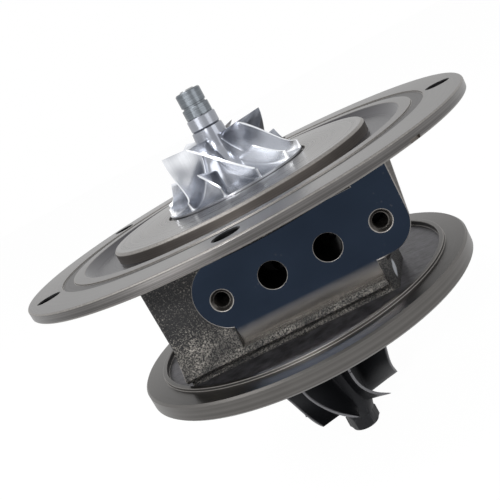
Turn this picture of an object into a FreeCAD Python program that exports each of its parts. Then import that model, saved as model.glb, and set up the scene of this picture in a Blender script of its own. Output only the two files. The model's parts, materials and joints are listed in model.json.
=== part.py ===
import FreeCAD, Part
import math
import os
import re
import Sketcher
from FreeCAD import Placement, Rotation, Vector

# Turbo cartridge: the bearing housing of a turbocharger with its compressor
# back plate, the rotor that runs through it and the bearings and seals inside.
# The shaft axis is Z, with the compressor wheel on top and the turbine wheel
# below. z = 0 is the rim face of the back plate, and the oil pad faces -Y.

# Driving dimensions in millimetres and degrees. Depths count down from the
# rim face, heights count up from it.
SIZES = {
    # Compressor back plate
    "rim_radius": 75.0, "rim_thick": 3.2, "rim_edge": 0.4, "rim_wide": 11.9,
    "track_depth": 0.5, "track_wide": 3.9, "land_wide": 3.7, "slope_wide": 3.5,
    "dish_wide": 7.7, "dish_depth": 2.7, "boss_height": 1.2, "boss_edge": 0.7,
    "plate_back": 6.5, "pocket_margin": 0.9, "pocket_depth": 1.0,
    "spigot_radius": 14.0, "spigot_length": 3.0, "chamber_radius": 10.4,
    "chamber_roof": 5.4, "seal_bore": 5.5,
    "bolt_setback": 7.0, "bolt_hole": 3.5,
    "bolt_a": -155.6, "bolt_b": -89.5, "bolt_c": -4.9, "bolt_d": 78.0, "bolt_e": 140.4,
    "notch_angle": -48.4, "notch_width": 4.0, "notch_tall": 1.1, "notch_deep": 0.6,
    # Screws of the back plate and its sealing ring
    "screw_circle": 19.5, "screw_radius": 2.45, "screw_head": 4.3, "screw_reach": 7.5,
    "screw_count": 4, "screw_socket": 1.5, "socket_depth": 1.4,
    "seal_setback": 0.7, "seal_tall": 1.7, "seal_deep": 1.6,
    # Clearances
    "slip": 0.05, "journal_gap": 0.03, "bush_gap": 0.05, "face_gap": 0.04,
    "ring_gap": 0.08, "wall_gap": 0.1,
    # Bearing housing
    "deck_radius": 40.0, "deck_thick": 3.9, "core_radius": 26.0,
    "flange_radius": 57.9, "flange_bottom": 48.2, "flange_tall": 5.5,
    "flange_edge": 0.6, "face_wide": 6.9, "lip_wide": 1.5, "lip_height": 1.0,
    "floor_web": 4.7, "nose_radius": 16.0, "nose_tall": 4.3,
    "block_left": 37.0, "block_right": 31.0, "block_front": 30.4,
    "block_side": 5.0, "block_back": 22.0, "block_corner": 7.0,
    "flare_top": 32.0, "flare_out": 4.0, "flare_bulge": 1.4, "flare_lift": 3.6,
    "flare_under": 1.2, "cast_round": 1.5, "core_round": 6.0,
    "pad_plane": 30.0, "pad_rise": 12.6, "pad_drop": 14.7, "pad_left": 17.0,
    "pad_right": 28.5, "pad_lobe": 11.0, "lobe_inset": 3.0, "lobe_rise": 1.2,
    "lobe_foot": 8.8, "ear_margin": 7.9, "ear_radius": 9.1, "ear_drop": 0.8,
    "ear_thick": 17.0, "ear_bevel": 2.2,
    "port_depth": 23.6, "port_middle": 9.05, "port_half": 8.85, "stud_half": 25.45,
    "port_radius": 4.2, "stud_core": 2.5, "stud_sink": 3.35, "stud_reach": 14.0,
    "drain_face": 31.0, "drain_wide": 24.0, "drain_top": 13.0, "drain_bottom": 41.0,
    "drain_depth": 27.0, "drain_bore": 8.0, "drain_stud": 16.0, "drain_reach": 12.0,
    "cavity_inner": 11.5, "cavity_outer": 20.0, "cavity_top": 17.5, "cavity_bottom": 39.0,
    "cavity_sweep": 250.0, "return_reach": 24.0, "feed_reach": 19.5,
    "chamber_wide": 1.8, "chamber_tall": 3.9, "chamber_web": 1.1,
    "oil_drill": 1.2, "slot_half": 4.5,
    # Journal bushes and their circlips
    "journal_radius": 4.0, "bush_radius": 6.2, "bush_length": 6.5,
    "bush_setback": 3.2, "bush_pitch": 16.5, "clip_thick": 0.8, "clip_deep": 0.65,
    "clip_wall": 1.1, "clip_mouth": 50.0, "bush_port": 0.9, "bush_groove": 0.3,
    "bush_hole": 0.7, "bush_holes": 6,
    # Thrust bearing, oil deflector and collars
    "thrust_thick": 2.7, "thrust_bore": 4.0, "collar_radius": 7.5,
    "thrust_slots": 4, "thrust_slot": 1.2, "slot_wall": 0.5,
    "collar_thick": 1.15, "deflector_thick": 0.8, "deflector_rise": 1.9,
    "deflector_bore": 5.2, "deflector_dish": 9.0,
    "disc_thick": 1.0, "sleeve_neck": 4.8, "sleeve_land": 5.4, "sleeve_top": 1.6,
    "ring_tall": 1.2, "ring_deep": 1.0, "ring_depth": 3.4, "ring_mouth": 4.0,
    "spindle_radius": 2.5, "wheel_step": 4.4,
    # Shaft
    "shaft_proud": 0.4, "waist_radius": 3.7, "waist_setback": 1.3,
    "neck_tall": 3.6, "flinger_radius": 7.4, "flinger_thick": 1.2,
    "neck_radius": 6.0, "hub_tall": 6.4, "hub_radius": 8.2, "hub_proud": 0.5,
    "turbine_ring_rise": 4.2, "turbine_ring_tall": 1.4, "turbine_ring_deep": 1.2,
    # Heat shield
    "shield_thick": 0.8, "shield_gap": 1.0, "shield_radius": 27.0, "shield_brim": 4.0,
    # Compressor wheel and lock nut
    "wheel_radius": 23.5, "exit_height": 1.9, "exit_width": 2.7, "wheel_back": 0.9,
    "eye_radius": 17.35, "eye_height": 18.6, "eye_hub": 5.4, "hub_height": 18.0,
    "nose_groove": 21.1, "nose_hub": 4.82, "wheel_top": 25.0, "wheel_wrap": 48.0,
    "wheel_phase": 7.2, "main_blades": 6, "splitter_start": 0.387,
    "blade_root": 1.3, "blade_tip": 0.6,
    "nut_collar": 4.6, "nut_collar_tall": 3.5, "nut_groove": 0.6, "nut_waist": 3.75,
    "nut_radius": 4.15, "nut_tall": 8.6, "nut_flats": 12, "nut_flat_cut": 0.3,
    # Turbine wheel
    "turbine_radius": 21.8, "weld_tall": 2.0, "disc_thick_edge": 1.0, "turbine_inlet": 7.0,
    "vane_tall": 25.5, "turbine_exit_radius": 17.5, "turbine_disc": 14.5,
    "turbine_hub": 6.3, "turbine_hub_tall": 28.0, "turbine_plain": 4.0,
    "turbine_nut": 5.6, "turbine_neck": 5.2, "turbine_hex_tall": 4.9,
    "turbine_wrap": 34.0, "turbine_bend": 5.0, "turbine_phase": 4.0, "turbine_blades": 8, "vane_root": 1.7, "vane_tip": 0.8,
}

# Radii and depths that follow from the driving dimensions, as formulas of them.
FOLLOWING = {
    "rim_inner": "rim_radius - rim_wide",
    "track_inner": "rim_inner - track_wide",
    "land_inner": "track_inner - land_wide",
    "dish_outer": "land_inner - slope_wide",
    "boss_radius": "dish_outer - dish_wide",
    "bolt_circle": "rim_radius - bolt_setback",
    "pocket_radius": "wheel_radius + pocket_margin",
    "seal_top": "plate_back + seal_setback",
    "deck_bottom": "plate_back + deck_thick",
    "lip_outer": "flange_radius - face_wide",
    "lip_inner": "lip_outer - lip_wide",
    "flange_top": "flange_bottom - flange_tall",
    "floor_depth": "flange_bottom - floor_web",
    "nose_bottom": "flange_bottom + nose_tall",
    "seat_depth": "flange_bottom - shield_thick - slip",
    "shield_bore": "hub_radius + shield_gap",
    "shield_rim": "shield_radius + shield_brim",
    "lobe_place": "stud_half - port_middle - lobe_inset",
    "lobe_depth": "port_depth - lobe_rise",
    "pad_top": "port_depth - pad_rise",
    "pad_bottom": "port_depth + pad_drop",
    "ear_side": "port_middle + stud_half + ear_margin",
    "ear_depth": "port_depth + ear_drop",
    "thrust_top": "plate_back + spigot_length + deflector_thick",
    "bush_top": "thrust_top + thrust_thick + bush_setback",
    "bush_low": "bush_top + bush_pitch",
    "waist_top": "bush_top + bush_length + waist_setback",
    "waist_bottom": "bush_low - waist_setback",
    "hub_bottom": "nose_bottom + hub_proud",
    "hub_top": "hub_bottom - hub_tall",
    "journal_end": "hub_top - neck_tall",
    "turbine_ring_depth": "hub_bottom - turbine_ring_rise",
    "turbine_chamber": "hub_radius + chamber_wide",
    "turbine_chamber_bottom": "hub_top - chamber_web",
    "turbine_chamber_top": "turbine_chamber_bottom - chamber_tall",
    "nut_step": "wheel_top + nut_collar_tall",
    "nut_top": "wheel_top + nut_tall",
    "shaft_top": "nut_top + shaft_proud",
    "turbine_face": "hub_bottom + weld_tall",
    "turbine_back": "turbine_face + disc_thick_edge",
    "turbine_exit": "turbine_back + vane_tall",
    "turbine_hub_end": "turbine_back + turbine_hub_tall",
    "turbine_hex": "turbine_hub_end + turbine_plain",
    "turbine_nose": "turbine_hex + turbine_hex_tall",
}

doc = FreeCAD.newDocument("turbo_cartridge")
sheet = doc.addObject("Spreadsheet::Sheet", "Size")
for row, (alias, value) in enumerate({**SIZES, **FOLLOWING}.items(), start=1):
    sheet.set("A%d" % row, alias)
    sheet.setAlias("B%d" % row, alias)
    sheet.set("B%d" % row, "=" + value if alias in FOLLOWING else str(value))
doc.recompute()

pieces = []


def bound(text):
    """The text of a formula with every size name pointed at the sheet."""
    return re.sub(r"[a-z_]+", lambda word: "Size." + word.group(0)
                  if word.group(0) in SIZES or word.group(0) in FOLLOWING else word.group(0), text)


def size(text):
    """The value of a formula of size names."""
    return float(sheet.evalExpression(text))


def new_body(label):
    """A new piece, which its label names."""
    body = doc.addObject("PartDesign::Body", label)
    body.Label = label
    pieces.append(body)
    return body


def plane_sketch(body, plane, offset="0"):
    """An empty sketch on one of the body's origin planes, moved along its normal."""
    sketch = body.newObject("Sketcher::SketchObject", "Sketch")
    support = [f for f in body.Origin.OriginFeatures if f.Role == plane][0]
    sketch.AttachmentSupport = [(support, "")]
    sketch.MapMode = "FlatFace"
    sketch.setExpression("AttachmentOffset.Base.z", bound(offset))
    return sketch


def hold(sketch, kind, first, second, formula):
    """A driven distance between two sketch points, bound to the sheet."""
    index = sketch.addConstraint(Sketcher.Constraint(kind, *first, *second, size(formula)))
    sketch.setExpression("Constraints[%d]" % index, bound(formula))


def add_outline(sketch, corners):
    """A closed outline of straight sides through corners given as formulas."""
    spots = [Vector(size(x), size(y), 0) for x, y in corners]
    start = sketch.GeometryCount
    count = len(spots)
    for i in range(count):
        sketch.addGeometry(Part.LineSegment(spots[i], spots[(i + 1) % count]))
    for i in range(count):
        following = start + (i + 1) % count
        sketch.addConstraint(Sketcher.Constraint("Coincident", start + i, 2, following, 1))
        hold(sketch, "DistanceX", (-1, 1), (start + i, 1), corners[i][0])
        hold(sketch, "DistanceY", (-1, 1), (start + i, 1), corners[i][1])


def add_circle(sketch, x, y, radius):
    """A circle with its centre and radius given as formulas."""
    circle = Part.Circle(Vector(size(x), size(y), 0), Vector(0, 0, 1), size(radius))
    index = sketch.addGeometry(circle)
    hold(sketch, "DistanceX", (-1, 1), (index, 3), x)
    hold(sketch, "DistanceY", (-1, 1), (index, 3), y)
    rule = sketch.addConstraint(Sketcher.Constraint("Radius", index, size(radius)))
    sketch.setExpression("Constraints[%d]" % rule, bound(radius))


def feature(body, kind, sketch):
    """A sketch-based feature of the body."""
    made = body.newObject("PartDesign::" + kind, kind)
    made.Profile = sketch
    sketch.Visibility = False
    return made


def turned(body, corners, cut=False):
    """An outline in the XZ plane turned about the shaft axis, as metal or as a cut."""
    sketch = plane_sketch(body, "XZ_Plane")
    add_outline(sketch, corners)
    made = feature(body, "Groove" if cut else "Revolution", sketch)
    made.ReferenceAxis = (sketch, ["V_Axis"])
    made.Angle = 360
    return made


def drawn(body, kind, sketch, length, reverse=False):
    """A pad or a pocket of a sketch with a bound length."""
    made = feature(body, kind, sketch)
    made.setExpression("Length", bound(length))
    made.Reversed = reverse
    return made


def dressed(body, kind, test, width):
    """A fillet or a chamfer on those edges of the body so far that pass a test."""
    doc.recompute()
    before = body.Tip
    names = ["Edge%d" % i for i, edge in enumerate(before.Shape.Edges, start=1) if test(edge)]
    made = body.newObject("PartDesign::" + kind, kind)
    made.Base = (before, names)
    made.setExpression("Radius" if kind == "Fillet" else "Size", bound(width))
    return made


def lies(edge, **limits):
    """Whether an edge's box keeps to limits such as x=(low, high), each given as formulas."""
    box = edge.BoundBox
    spans = {"x": (box.XMin, box.XMax), "y": (box.YMin, box.YMax), "z": (box.ZMin, box.ZMax)}
    slack = 0.001
    return all(spans[axis][0] > size(low) - slack and spans[axis][1] < size(high) + slack
               for axis, (low, high) in limits.items())


def repeated(body, made, count):
    """Copies of a feature evenly spaced about the shaft axis."""
    pattern = body.newObject("PartDesign::PolarPattern", "PolarPattern")
    pattern.Originals = [made]
    axis = [f for f in body.Origin.OriginFeatures if f.Role == "Z_Axis"][0]
    pattern.Axis = (axis, [""])
    pattern.Angle = 360
    pattern.setExpression("Occurrences", bound(count))
    body.Tip = pattern
    return pattern


def coded_piece(label, shape):
    """A piece whose shape is made by formulas that no feature offers."""
    piece = doc.addObject("Part::Feature", label)
    piece.Label = label
    piece.Shape = shape
    piece.Placement = Placement()
    pieces.append(piece)
    return piece


def bolt_places():
    """The centres of the rim's bolt holes, which are unevenly spaced, as formulas."""
    names = ["bolt_a", "bolt_b", "bolt_c", "bolt_d", "bolt_e"]
    return [("bolt_circle * cos(%s)" % name, "bolt_circle * sin(%s)" % name) for name in names]


def make_back_plate():
    """The turned compressor back plate, with its bolt rim, track, dish and boss."""
    body = new_body("back_plate")
    turned(body, [
        ("seal_bore", "boss_height - pocket_depth"),
        ("pocket_radius", "boss_height - pocket_depth"),
        ("pocket_radius", "boss_height"),
        ("boss_radius - boss_edge", "boss_height"),
        ("boss_radius", "boss_height - boss_edge"),
        ("boss_radius", "-dish_depth"),
        ("dish_outer", "-dish_depth"),
        ("land_inner", "0"),
        ("track_inner", "0"),
        ("track_inner", "-track_depth"),
        ("rim_inner", "-track_depth"),
        ("rim_inner", "0"),
        ("rim_radius - rim_edge", "0"),
        ("rim_radius", "-rim_edge"),
        ("rim_radius", "rim_edge - rim_thick"),
        ("rim_radius - rim_edge", "-rim_thick"),
        ("land_inner + plate_back - rim_thick", "-rim_thick"),
        ("land_inner", "-plate_back"),
        ("spigot_radius", "-plate_back"),
        ("spigot_radius", "-seal_top"),
        ("spigot_radius - seal_deep", "-seal_top"),
        ("spigot_radius - seal_deep", "-seal_top - seal_tall"),
        ("spigot_radius", "-seal_top - seal_tall"),
        ("spigot_radius", "-plate_back - spigot_length"),
        ("chamber_radius", "-plate_back - spigot_length"),
        ("chamber_radius", "-chamber_roof"),
        ("seal_bore", "-chamber_roof"),
    ])
    holes = plane_sketch(body, "XY_Plane")
    for x, y in bolt_places():
        add_circle(holes, x, y, "bolt_hole")
    drawn(body, "Pocket", holes, "rim_thick + rim_edge")
    shank = plane_sketch(body, "XY_Plane", "boss_height")
    add_circle(shank, "screw_circle", "0", "screw_radius + wall_gap")
    repeated(body, drawn(body, "Pocket", shank, "boss_height + plate_back + slip"), "screw_count")
    sink = plane_sketch(body, "XZ_Plane")
    floor = "boss_height - pocket_depth"
    add_outline(sink, [
        ("screw_circle", floor),
        ("screw_circle + screw_head + wall_gap", floor),
        ("screw_circle + screw_radius + wall_gap", floor + " - screw_head + screw_radius"),
        ("screw_circle", floor + " - screw_head + screw_radius"),
    ])
    cone = feature(body, "Groove", sink)
    cone.Angle = 360
    seam = sink.addGeometry(Part.LineSegment(Vector(size("screw_circle"), 0, 0),
                                             Vector(size("screw_circle"), 5, 0)), True)
    hold(sink, "DistanceX", (-1, 1), (seam, 1), "screw_circle")
    hold(sink, "DistanceX", (-1, 1), (seam, 2), "screw_circle")
    hold(sink, "DistanceY", (-1, 1), (seam, 1), "0")
    hold(sink, "DistanceY", (-1, 1), (seam, 2), "screw_head")
    cone.ReferenceAxis = (sink, ["Axis0"])
    repeated(body, cone, "screw_count")
    notch = plane_sketch(body, "XY_Plane", "-rim_thick")
    notch.AttachmentOffset = Placement(Vector(0, 0, size("-rim_thick")), Rotation())
    notch.setExpression("AttachmentOffset.Rotation.Angle", bound("notch_angle"))
    add_outline(notch, [
        ("rim_radius - notch_deep", "-notch_width / 2"),
        ("rim_radius + notch_deep", "-notch_width / 2"),
        ("rim_radius + notch_deep", "notch_width / 2"),
        ("rim_radius - notch_deep", "notch_width / 2"),
    ])
    drawn(body, "Pocket", notch, "notch_tall", reverse=True)
    return body


def make_housing():
    """The cast bearing housing, with both flanges, the oil pad, the bores and the drain."""
    body = new_body("bearing_housing")
    inner_deck = "-thrust_top - thrust_thick"
    turned(body, [
        ("0", "-plate_back"),
        ("deck_radius", "-plate_back"),
        ("deck_radius", "-deck_bottom"),
        ("core_radius", "-deck_bottom - (deck_radius - core_radius) / 3"),
        ("core_radius", "-floor_depth"),
        ("lip_inner", "-floor_depth"),
        ("lip_inner", "lip_height - flange_top"),
        ("lip_outer", "lip_height - flange_top"),
        ("lip_outer", "-flange_top"),
        ("flange_radius - flange_edge", "-flange_top"),
        ("flange_radius", "-flange_top - flange_edge"),
        ("flange_radius", "flange_edge - flange_bottom"),
        ("flange_radius - flange_edge", "-flange_bottom"),
        ("shield_rim + wall_gap", "-flange_bottom"),
        ("shield_rim + wall_gap", "-seat_depth"),
        ("nose_radius", "-seat_depth"),
        ("nose_radius", "-nose_bottom"),
        ("0", "-nose_bottom"),
    ])
    dressed(body, "Fillet", lambda edge: lies(
        edge, z=("-floor_depth", "-floor_depth"), x=("-core_radius", "core_radius")), "core_round")
    block = plane_sketch(body, "XY_Plane", "-floor_depth - lip_height / 2")
    add_outline(block, [
        ("-block_left", "-block_front"),
        ("block_right", "-block_front"),
        ("block_right + block_side", "-block_corner"),
        ("block_right - block_side", "block_side"),
        ("block_back", "block_back"),
        ("-block_back", "block_back"),
        ("-block_left", "block_side"),
    ])
    drawn(body, "Pad", block, "floor_depth + lip_height / 2 - plate_back - slip")
    dressed(body, "Fillet", lambda edge: lies(
        edge, x=("-block_left", "-block_left"), y=("-block_front", "-block_front")), "cast_round")
    flare = plane_sketch(body, "YZ_Plane", "-block_left")
    add_outline(flare, [
        ("-block_front", "-flare_top"),
        ("-block_front - flare_bulge", "-(flare_top + floor_depth - flare_lift) / 2"),
        ("-block_front - flare_out", "flare_lift - floor_depth"),
        ("-block_front - flare_out + flare_under", "(flare_lift - flare_under) - floor_depth"),
        ("-block_front + block_corner", "-floor_depth - lip_height / 2"),
        ("-block_front + block_corner", "-flare_top"),
    ])
    drawn(body, "Pad", flare, "block_left + pad_right")
    ear = plane_sketch(body, "XZ_Plane", "pad_plane")
    add_circle(ear, "ear_side - ear_radius", "-ear_depth", "ear_radius + ear_bevel")
    drawn(body, "Pad", ear, "ear_thick", reverse=True)
    cheek = plane_sketch(body, "XZ_Plane", "pad_plane")
    add_outline(cheek, [
        ("pad_right - block_corner", "-plate_back - slip"),
        ("ear_side + ear_bevel", "-plate_back - slip"),
        ("ear_side + ear_bevel", "-ear_depth"),
        ("ear_side - ear_radius", "-ear_depth - ear_radius - ear_bevel"),
        ("pad_right - block_corner", "-ear_depth - ear_radius - ear_bevel"),
    ])
    drawn(body, "Pad", cheek, "ear_thick", reverse=True)
    dressed(body, "Chamfer", lambda edge: lies(
        edge, x=("ear_side - ear_radius", "ear_side + ear_bevel"), y=("-pad_plane", "-pad_plane"),
        z=("-floor_depth", "-plate_back - 2 * slip")), "ear_bevel")
    back = plane_sketch(body, "XZ_Plane", "-drain_face")
    add_outline(back, [
        ("-drain_wide", "-drain_top"), ("drain_wide", "-drain_top"),
        ("drain_wide", "-drain_bottom"), ("-drain_wide", "-drain_bottom"),
    ])
    drawn(body, "Pad", back, "drain_face - block_side")
    pad = plane_sketch(body, "XZ_Plane", "pad_plane + flare_out + block_corner")
    add_outline(pad, [
        ("-lobe_place", "-pad_top"), ("ear_side + wall_gap", "-pad_top"),
        ("ear_side + wall_gap", "-ear_depth - ear_radius"),
        ("pad_right", "-ear_depth - ear_radius"),
        ("pad_right", "-pad_bottom"), ("-pad_left", "-pad_bottom"),
        ("-pad_left", "-lobe_depth - lobe_foot"),
        ("-lobe_place", "-lobe_depth"),
    ])
    drawn(body, "Pocket", pad, "flare_out + block_corner")
    lobe = plane_sketch(body, "XZ_Plane", "pad_plane + flare_out + block_corner")
    add_circle(lobe, "-lobe_place", "-lobe_depth", "pad_lobe")
    drawn(body, "Pocket", lobe, "flare_out + block_corner")
    turned(body, [
        ("0", "wall_gap - plate_back"),
        ("spigot_radius + slip", "wall_gap - plate_back"),
        ("spigot_radius + slip", inner_deck),
        ("collar_radius + ring_deep", inner_deck),
        ("collar_radius + ring_deep", inner_deck + " - collar_thick - 2 * ring_gap"),
        ("bush_radius + bush_gap", inner_deck + " - collar_thick - 2 * ring_gap"),
        ("bush_radius + bush_gap", "-turbine_chamber_top"),
        ("turbine_chamber", "-turbine_chamber_top"),
        ("turbine_chamber", "-turbine_chamber_bottom"),
        ("hub_radius + wall_gap", "-turbine_chamber_bottom"),
        ("hub_radius + wall_gap", "-nose_bottom - slip"),
        ("0", "-nose_bottom - slip"),
    ], cut=True)
    cavity = plane_sketch(body, "YZ_Plane")
    add_outline(cavity, [
        ("cavity_inner", "-cavity_top"), ("cavity_outer", "-cavity_top - ring_deep"),
        ("cavity_outer", "-cavity_bottom + ring_deep"), ("cavity_inner", "-cavity_bottom"),
    ])
    hollow = feature(body, "Groove", cavity)
    hollow.ReferenceAxis = (cavity, ["V_Axis"])
    hollow.setExpression("Angle", bound("cavity_sweep"))
    hollow.Midplane = True
    for depth in clip_depths():
        turned(body, [
            ("bush_radius", "-(%s)" % depth),
            ("bush_radius + clip_deep + bush_gap", "-(%s)" % depth),
            ("bush_radius + clip_deep + bush_gap", "-(%s) - clip_thick - slip" % depth),
            ("bush_radius", "-(%s) - clip_thick - slip" % depth),
        ], cut=True)
    feed = plane_sketch(body, "XZ_Plane", "pad_plane")
    add_circle(feed, "port_middle - port_half", "-port_depth", "port_radius")
    drawn(body, "Pocket", feed, "feed_reach")
    outlet = plane_sketch(body, "XZ_Plane", "pad_plane")
    add_circle(outlet, "port_middle + port_half", "-port_depth", "port_radius")
    drawn(body, "Pocket", outlet, "return_reach")
    for sign in ("-", "+"):
        stud = plane_sketch(body, "XZ_Plane", "pad_plane")
        add_circle(stud, "port_middle %s stud_half" % sign, "-port_depth", "stud_core")
        drawn(body, "Pocket", stud, "stud_reach")
    drain = plane_sketch(body, "XZ_Plane", "-drain_face")
    add_circle(drain, "0", "-drain_depth", "drain_bore")
    drawn(body, "Pocket", drain, "drain_face - cavity_inner - ring_deep", reverse=True)
    for sign in ("-", ""):
        stud = plane_sketch(body, "XZ_Plane", "-drain_face")
        add_circle(stud, sign + "drain_stud", "-drain_depth", "stud_core")
        drawn(body, "Pocket", stud, "drain_reach", reverse=True)
    gutter = plane_sketch(body, "XY_Plane", inner_deck)
    add_outline(gutter, [
        ("-slot_half", "collar_radius"), ("slot_half", "collar_radius"),
        ("slot_half", "spigot_radius - ring_deep"), ("-slot_half", "spigot_radius - ring_deep"),
    ])
    drawn(body, "Pocket", gutter, "cavity_top - thrust_top - thrust_thick + 2 * ring_deep")
    spill = plane_sketch(body, "XY_Plane", "-turbine_chamber_bottom")
    add_outline(spill, [
        ("-slot_half", "collar_radius"), ("slot_half", "collar_radius"),
        ("slot_half", "spigot_radius"), ("-slot_half", "spigot_radius"),
    ])
    drawn(body, "Pocket", spill, "turbine_chamber_bottom - cavity_bottom + 2 * ring_deep",
          reverse=True)
    tapped = plane_sketch(body, "XY_Plane", "-plate_back")
    add_circle(tapped, "screw_circle", "0", "screw_radius")
    repeated(body, drawn(body, "Pocket", tapped, "screw_reach"), "screw_count")
    for sign in ("-", "+"):
        sink = plane_sketch(body, "XZ_Plane", "pad_plane")
        add_circle(sink, "port_middle %s stud_half" % sign, "-port_depth", "stud_sink")
        mouth = drawn(body, "Pocket", sink, "stud_sink - stud_core")
        mouth.TaperAngle = -44
    return body


def clip_depths():
    """The depths at which the grooves of the circlips start, from the top down."""
    return ["bush_top - clip_thick - 2 * slip", "bush_top + bush_length + slip",
            "bush_low - clip_thick - 2 * slip", "bush_low + bush_length + slip"]


def oil_drillings():
    """The two slanted oil drillings from the feed port's floor to the bushes."""
    floor = size("feed_reach - pad_plane - oil_drill")
    start = Vector(size("port_middle - port_half"), floor, -size("port_depth"))
    drills = []
    for depth in ("bush_top + bush_length / 2", "bush_low + bush_length / 2"):
        end = Vector(0, -size("journal_radius"), -size(depth))
        run = end - start
        drills.append(Part.makeCylinder(size("oil_drill"), run.Length, start, run))
    return drills


def make_plate_screws():
    """The countersunk screws that hold the back plate on the housing."""
    floor = "boss_height - pocket_depth"
    profile = [
        ("0", "%s - slip - socket_depth" % floor),
        ("screw_socket", "%s - slip - socket_depth" % floor),
        ("screw_socket", "%s - slip" % floor),
        ("screw_head - slip", "%s - slip" % floor),
        ("screw_radius - slip", "%s - screw_head + screw_radius - slip" % floor),
        ("screw_radius - slip", "-plate_back - screw_reach + screw_socket"),
        ("0", "-plate_back - screw_reach + screw_socket"),
    ]
    spots = [Vector(size(x), 0, size(z)) for x, z in profile]
    screw = Part.Face(Part.makePolygon(spots + spots[:1])).revolve(Vector(), Vector(0, 0, 1), 360)
    screws = []
    for i in range(int(size("screw_count"))):
        copy = screw.copy()
        copy.translate(Vector(size("screw_circle"), 0, 0))
        copy.rotate(Vector(), Vector(0, 0, 1), 360 * i / size("screw_count"))
        screws.append(copy)
    coded_piece("back_plate_screws", Part.makeCompound(screws))


def make_seal_ring():
    """The rubber ring in the groove of the back plate's spigot."""
    ring = doc.addObject("Part::Torus", "plate_seal_ring")
    ring.Label = "plate_seal_ring"
    ring.setExpression("Radius1", bound("spigot_radius - seal_deep / 2 + slip / 2"))
    ring.setExpression("Radius2", bound("seal_deep / 2 - slip / 2"))
    ring.setExpression("Placement.Base.z", bound("-seal_top - seal_tall / 2"))
    pieces.append(ring)


def make_thrust_bearing():
    """The bronze thrust bearing, with oil pockets on its two faces."""
    body = new_body("thrust_bearing")
    turned(body, [
        ("thrust_bore", "-thrust_top"),
        ("spigot_radius - slip", "-thrust_top"),
        ("spigot_radius - slip", "-thrust_top - thrust_thick"),
        ("thrust_bore", "-thrust_top - thrust_thick"),
    ])
    pocket = plane_sketch(body, "XY_Plane", "-thrust_top")
    add_outline(pocket, [
        ("thrust_bore - slip", "-thrust_slot / 2"), ("collar_radius - slot_wall", "-thrust_slot / 2"),
        ("collar_radius - slot_wall", "thrust_slot / 2"), ("thrust_bore - slip", "thrust_slot / 2"),
    ])
    repeated(body, drawn(body, "Pocket", pocket, "bush_groove"), "thrust_slots")
    return body


def make_deflector():
    """The pressed oil deflector between the thrust bearing and the back plate."""
    body = new_body("oil_deflector")
    top = "-thrust_top + deflector_thick"
    turned(body, [
        ("deflector_bore", top + " + deflector_rise"),
        ("deflector_dish - deflector_thick", top + " + deflector_rise"),
        ("deflector_dish + deflector_thick", top),
        ("spigot_radius - slip", top),
        ("spigot_radius - slip", "-thrust_top"),
        ("deflector_dish", "-thrust_top"),
        ("deflector_dish - 2 * deflector_thick", "-thrust_top + deflector_rise"),
        ("deflector_bore", "-thrust_top + deflector_rise"),
    ])
    return body


def make_thrust_collar():
    """The collar under the thrust bearing, with the hub that passes through it."""
    body = new_body("thrust_collar")
    face = "-thrust_top - thrust_thick - face_gap"
    turned(body, [
        ("spindle_radius", "-thrust_top + face_gap"),
        ("thrust_bore - wall_gap", "-thrust_top + face_gap"),
        ("thrust_bore - wall_gap", face),
        ("collar_radius", face),
        ("collar_radius", face + " - collar_thick"),
        ("spindle_radius", face + " - collar_thick"),
    ])
    return body


def make_flinger_sleeve():
    """The oil flinger sleeve, with its thrust disc and the groove of the piston ring."""
    body = new_body("flinger_sleeve")
    foot = "-thrust_top + face_gap"
    turned(body, [
        ("spindle_radius", foot),
        ("collar_radius", foot),
        ("collar_radius", foot + " + disc_thick"),
        ("sleeve_neck", foot + " + disc_thick"),
        ("sleeve_neck", "-chamber_roof - ring_deep / 2"),
        ("sleeve_land", "-chamber_roof - ring_deep / 2"),
        ("sleeve_land", "-ring_depth - ring_tall"),
        ("sleeve_land - ring_deep", "-ring_depth - ring_tall"),
        ("sleeve_land - ring_deep", "-ring_depth"),
        ("sleeve_land", "-ring_depth"),
        ("sleeve_land", "-sleeve_top"),
        ("spindle_radius", "-sleeve_top"),
    ])
    return body


def split_ring(label, inner, outer, top, tall, mouth):
    """A ring of square section with a gap in it, such as a piston ring or a circlip."""
    body = new_body(label)
    turned(body, [
        (inner, "-(%s)" % top), (outer, "-(%s)" % top),
        (outer, "-(%s) - (%s)" % (top, tall)), (inner, "-(%s) - (%s)" % (top, tall)),
    ])
    gap = plane_sketch(body, "XY_Plane", "-(%s)" % top)
    add_outline(gap, [
        ("0", "0"), ("2 * (%s)" % outer, "0"),
        ("2 * (%s) * cos(%s)" % (outer, mouth), "2 * (%s) * sin(%s)" % (outer, mouth)),
    ])
    drawn(body, "Pocket", gap, tall)
    return body


def make_piston_rings():
    """The two piston rings, each sprung out against its bore."""
    split_ring("compressor_piston_ring", "sleeve_land - ring_deep + ring_gap", "seal_bore",
               "ring_depth + ring_gap", "ring_tall - 2 * ring_gap", "ring_mouth")
    split_ring("turbine_piston_ring", "hub_radius - turbine_ring_deep + ring_gap",
               "hub_radius + wall_gap", "turbine_ring_depth + ring_gap",
               "turbine_ring_tall - 2 * ring_gap", "ring_mouth")


def make_circlips():
    """The circlips that keep the two bushes in place, each sprung into its groove."""
    names = ["circlip_top", "circlip_upper", "circlip_lower", "circlip_bottom"]
    for name, depth in zip(names, clip_depths()):
        split_ring(name, "bush_radius - clip_wall", "bush_radius + clip_deep", depth + " + slip / 2",
                   "clip_thick", "clip_mouth")


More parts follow.
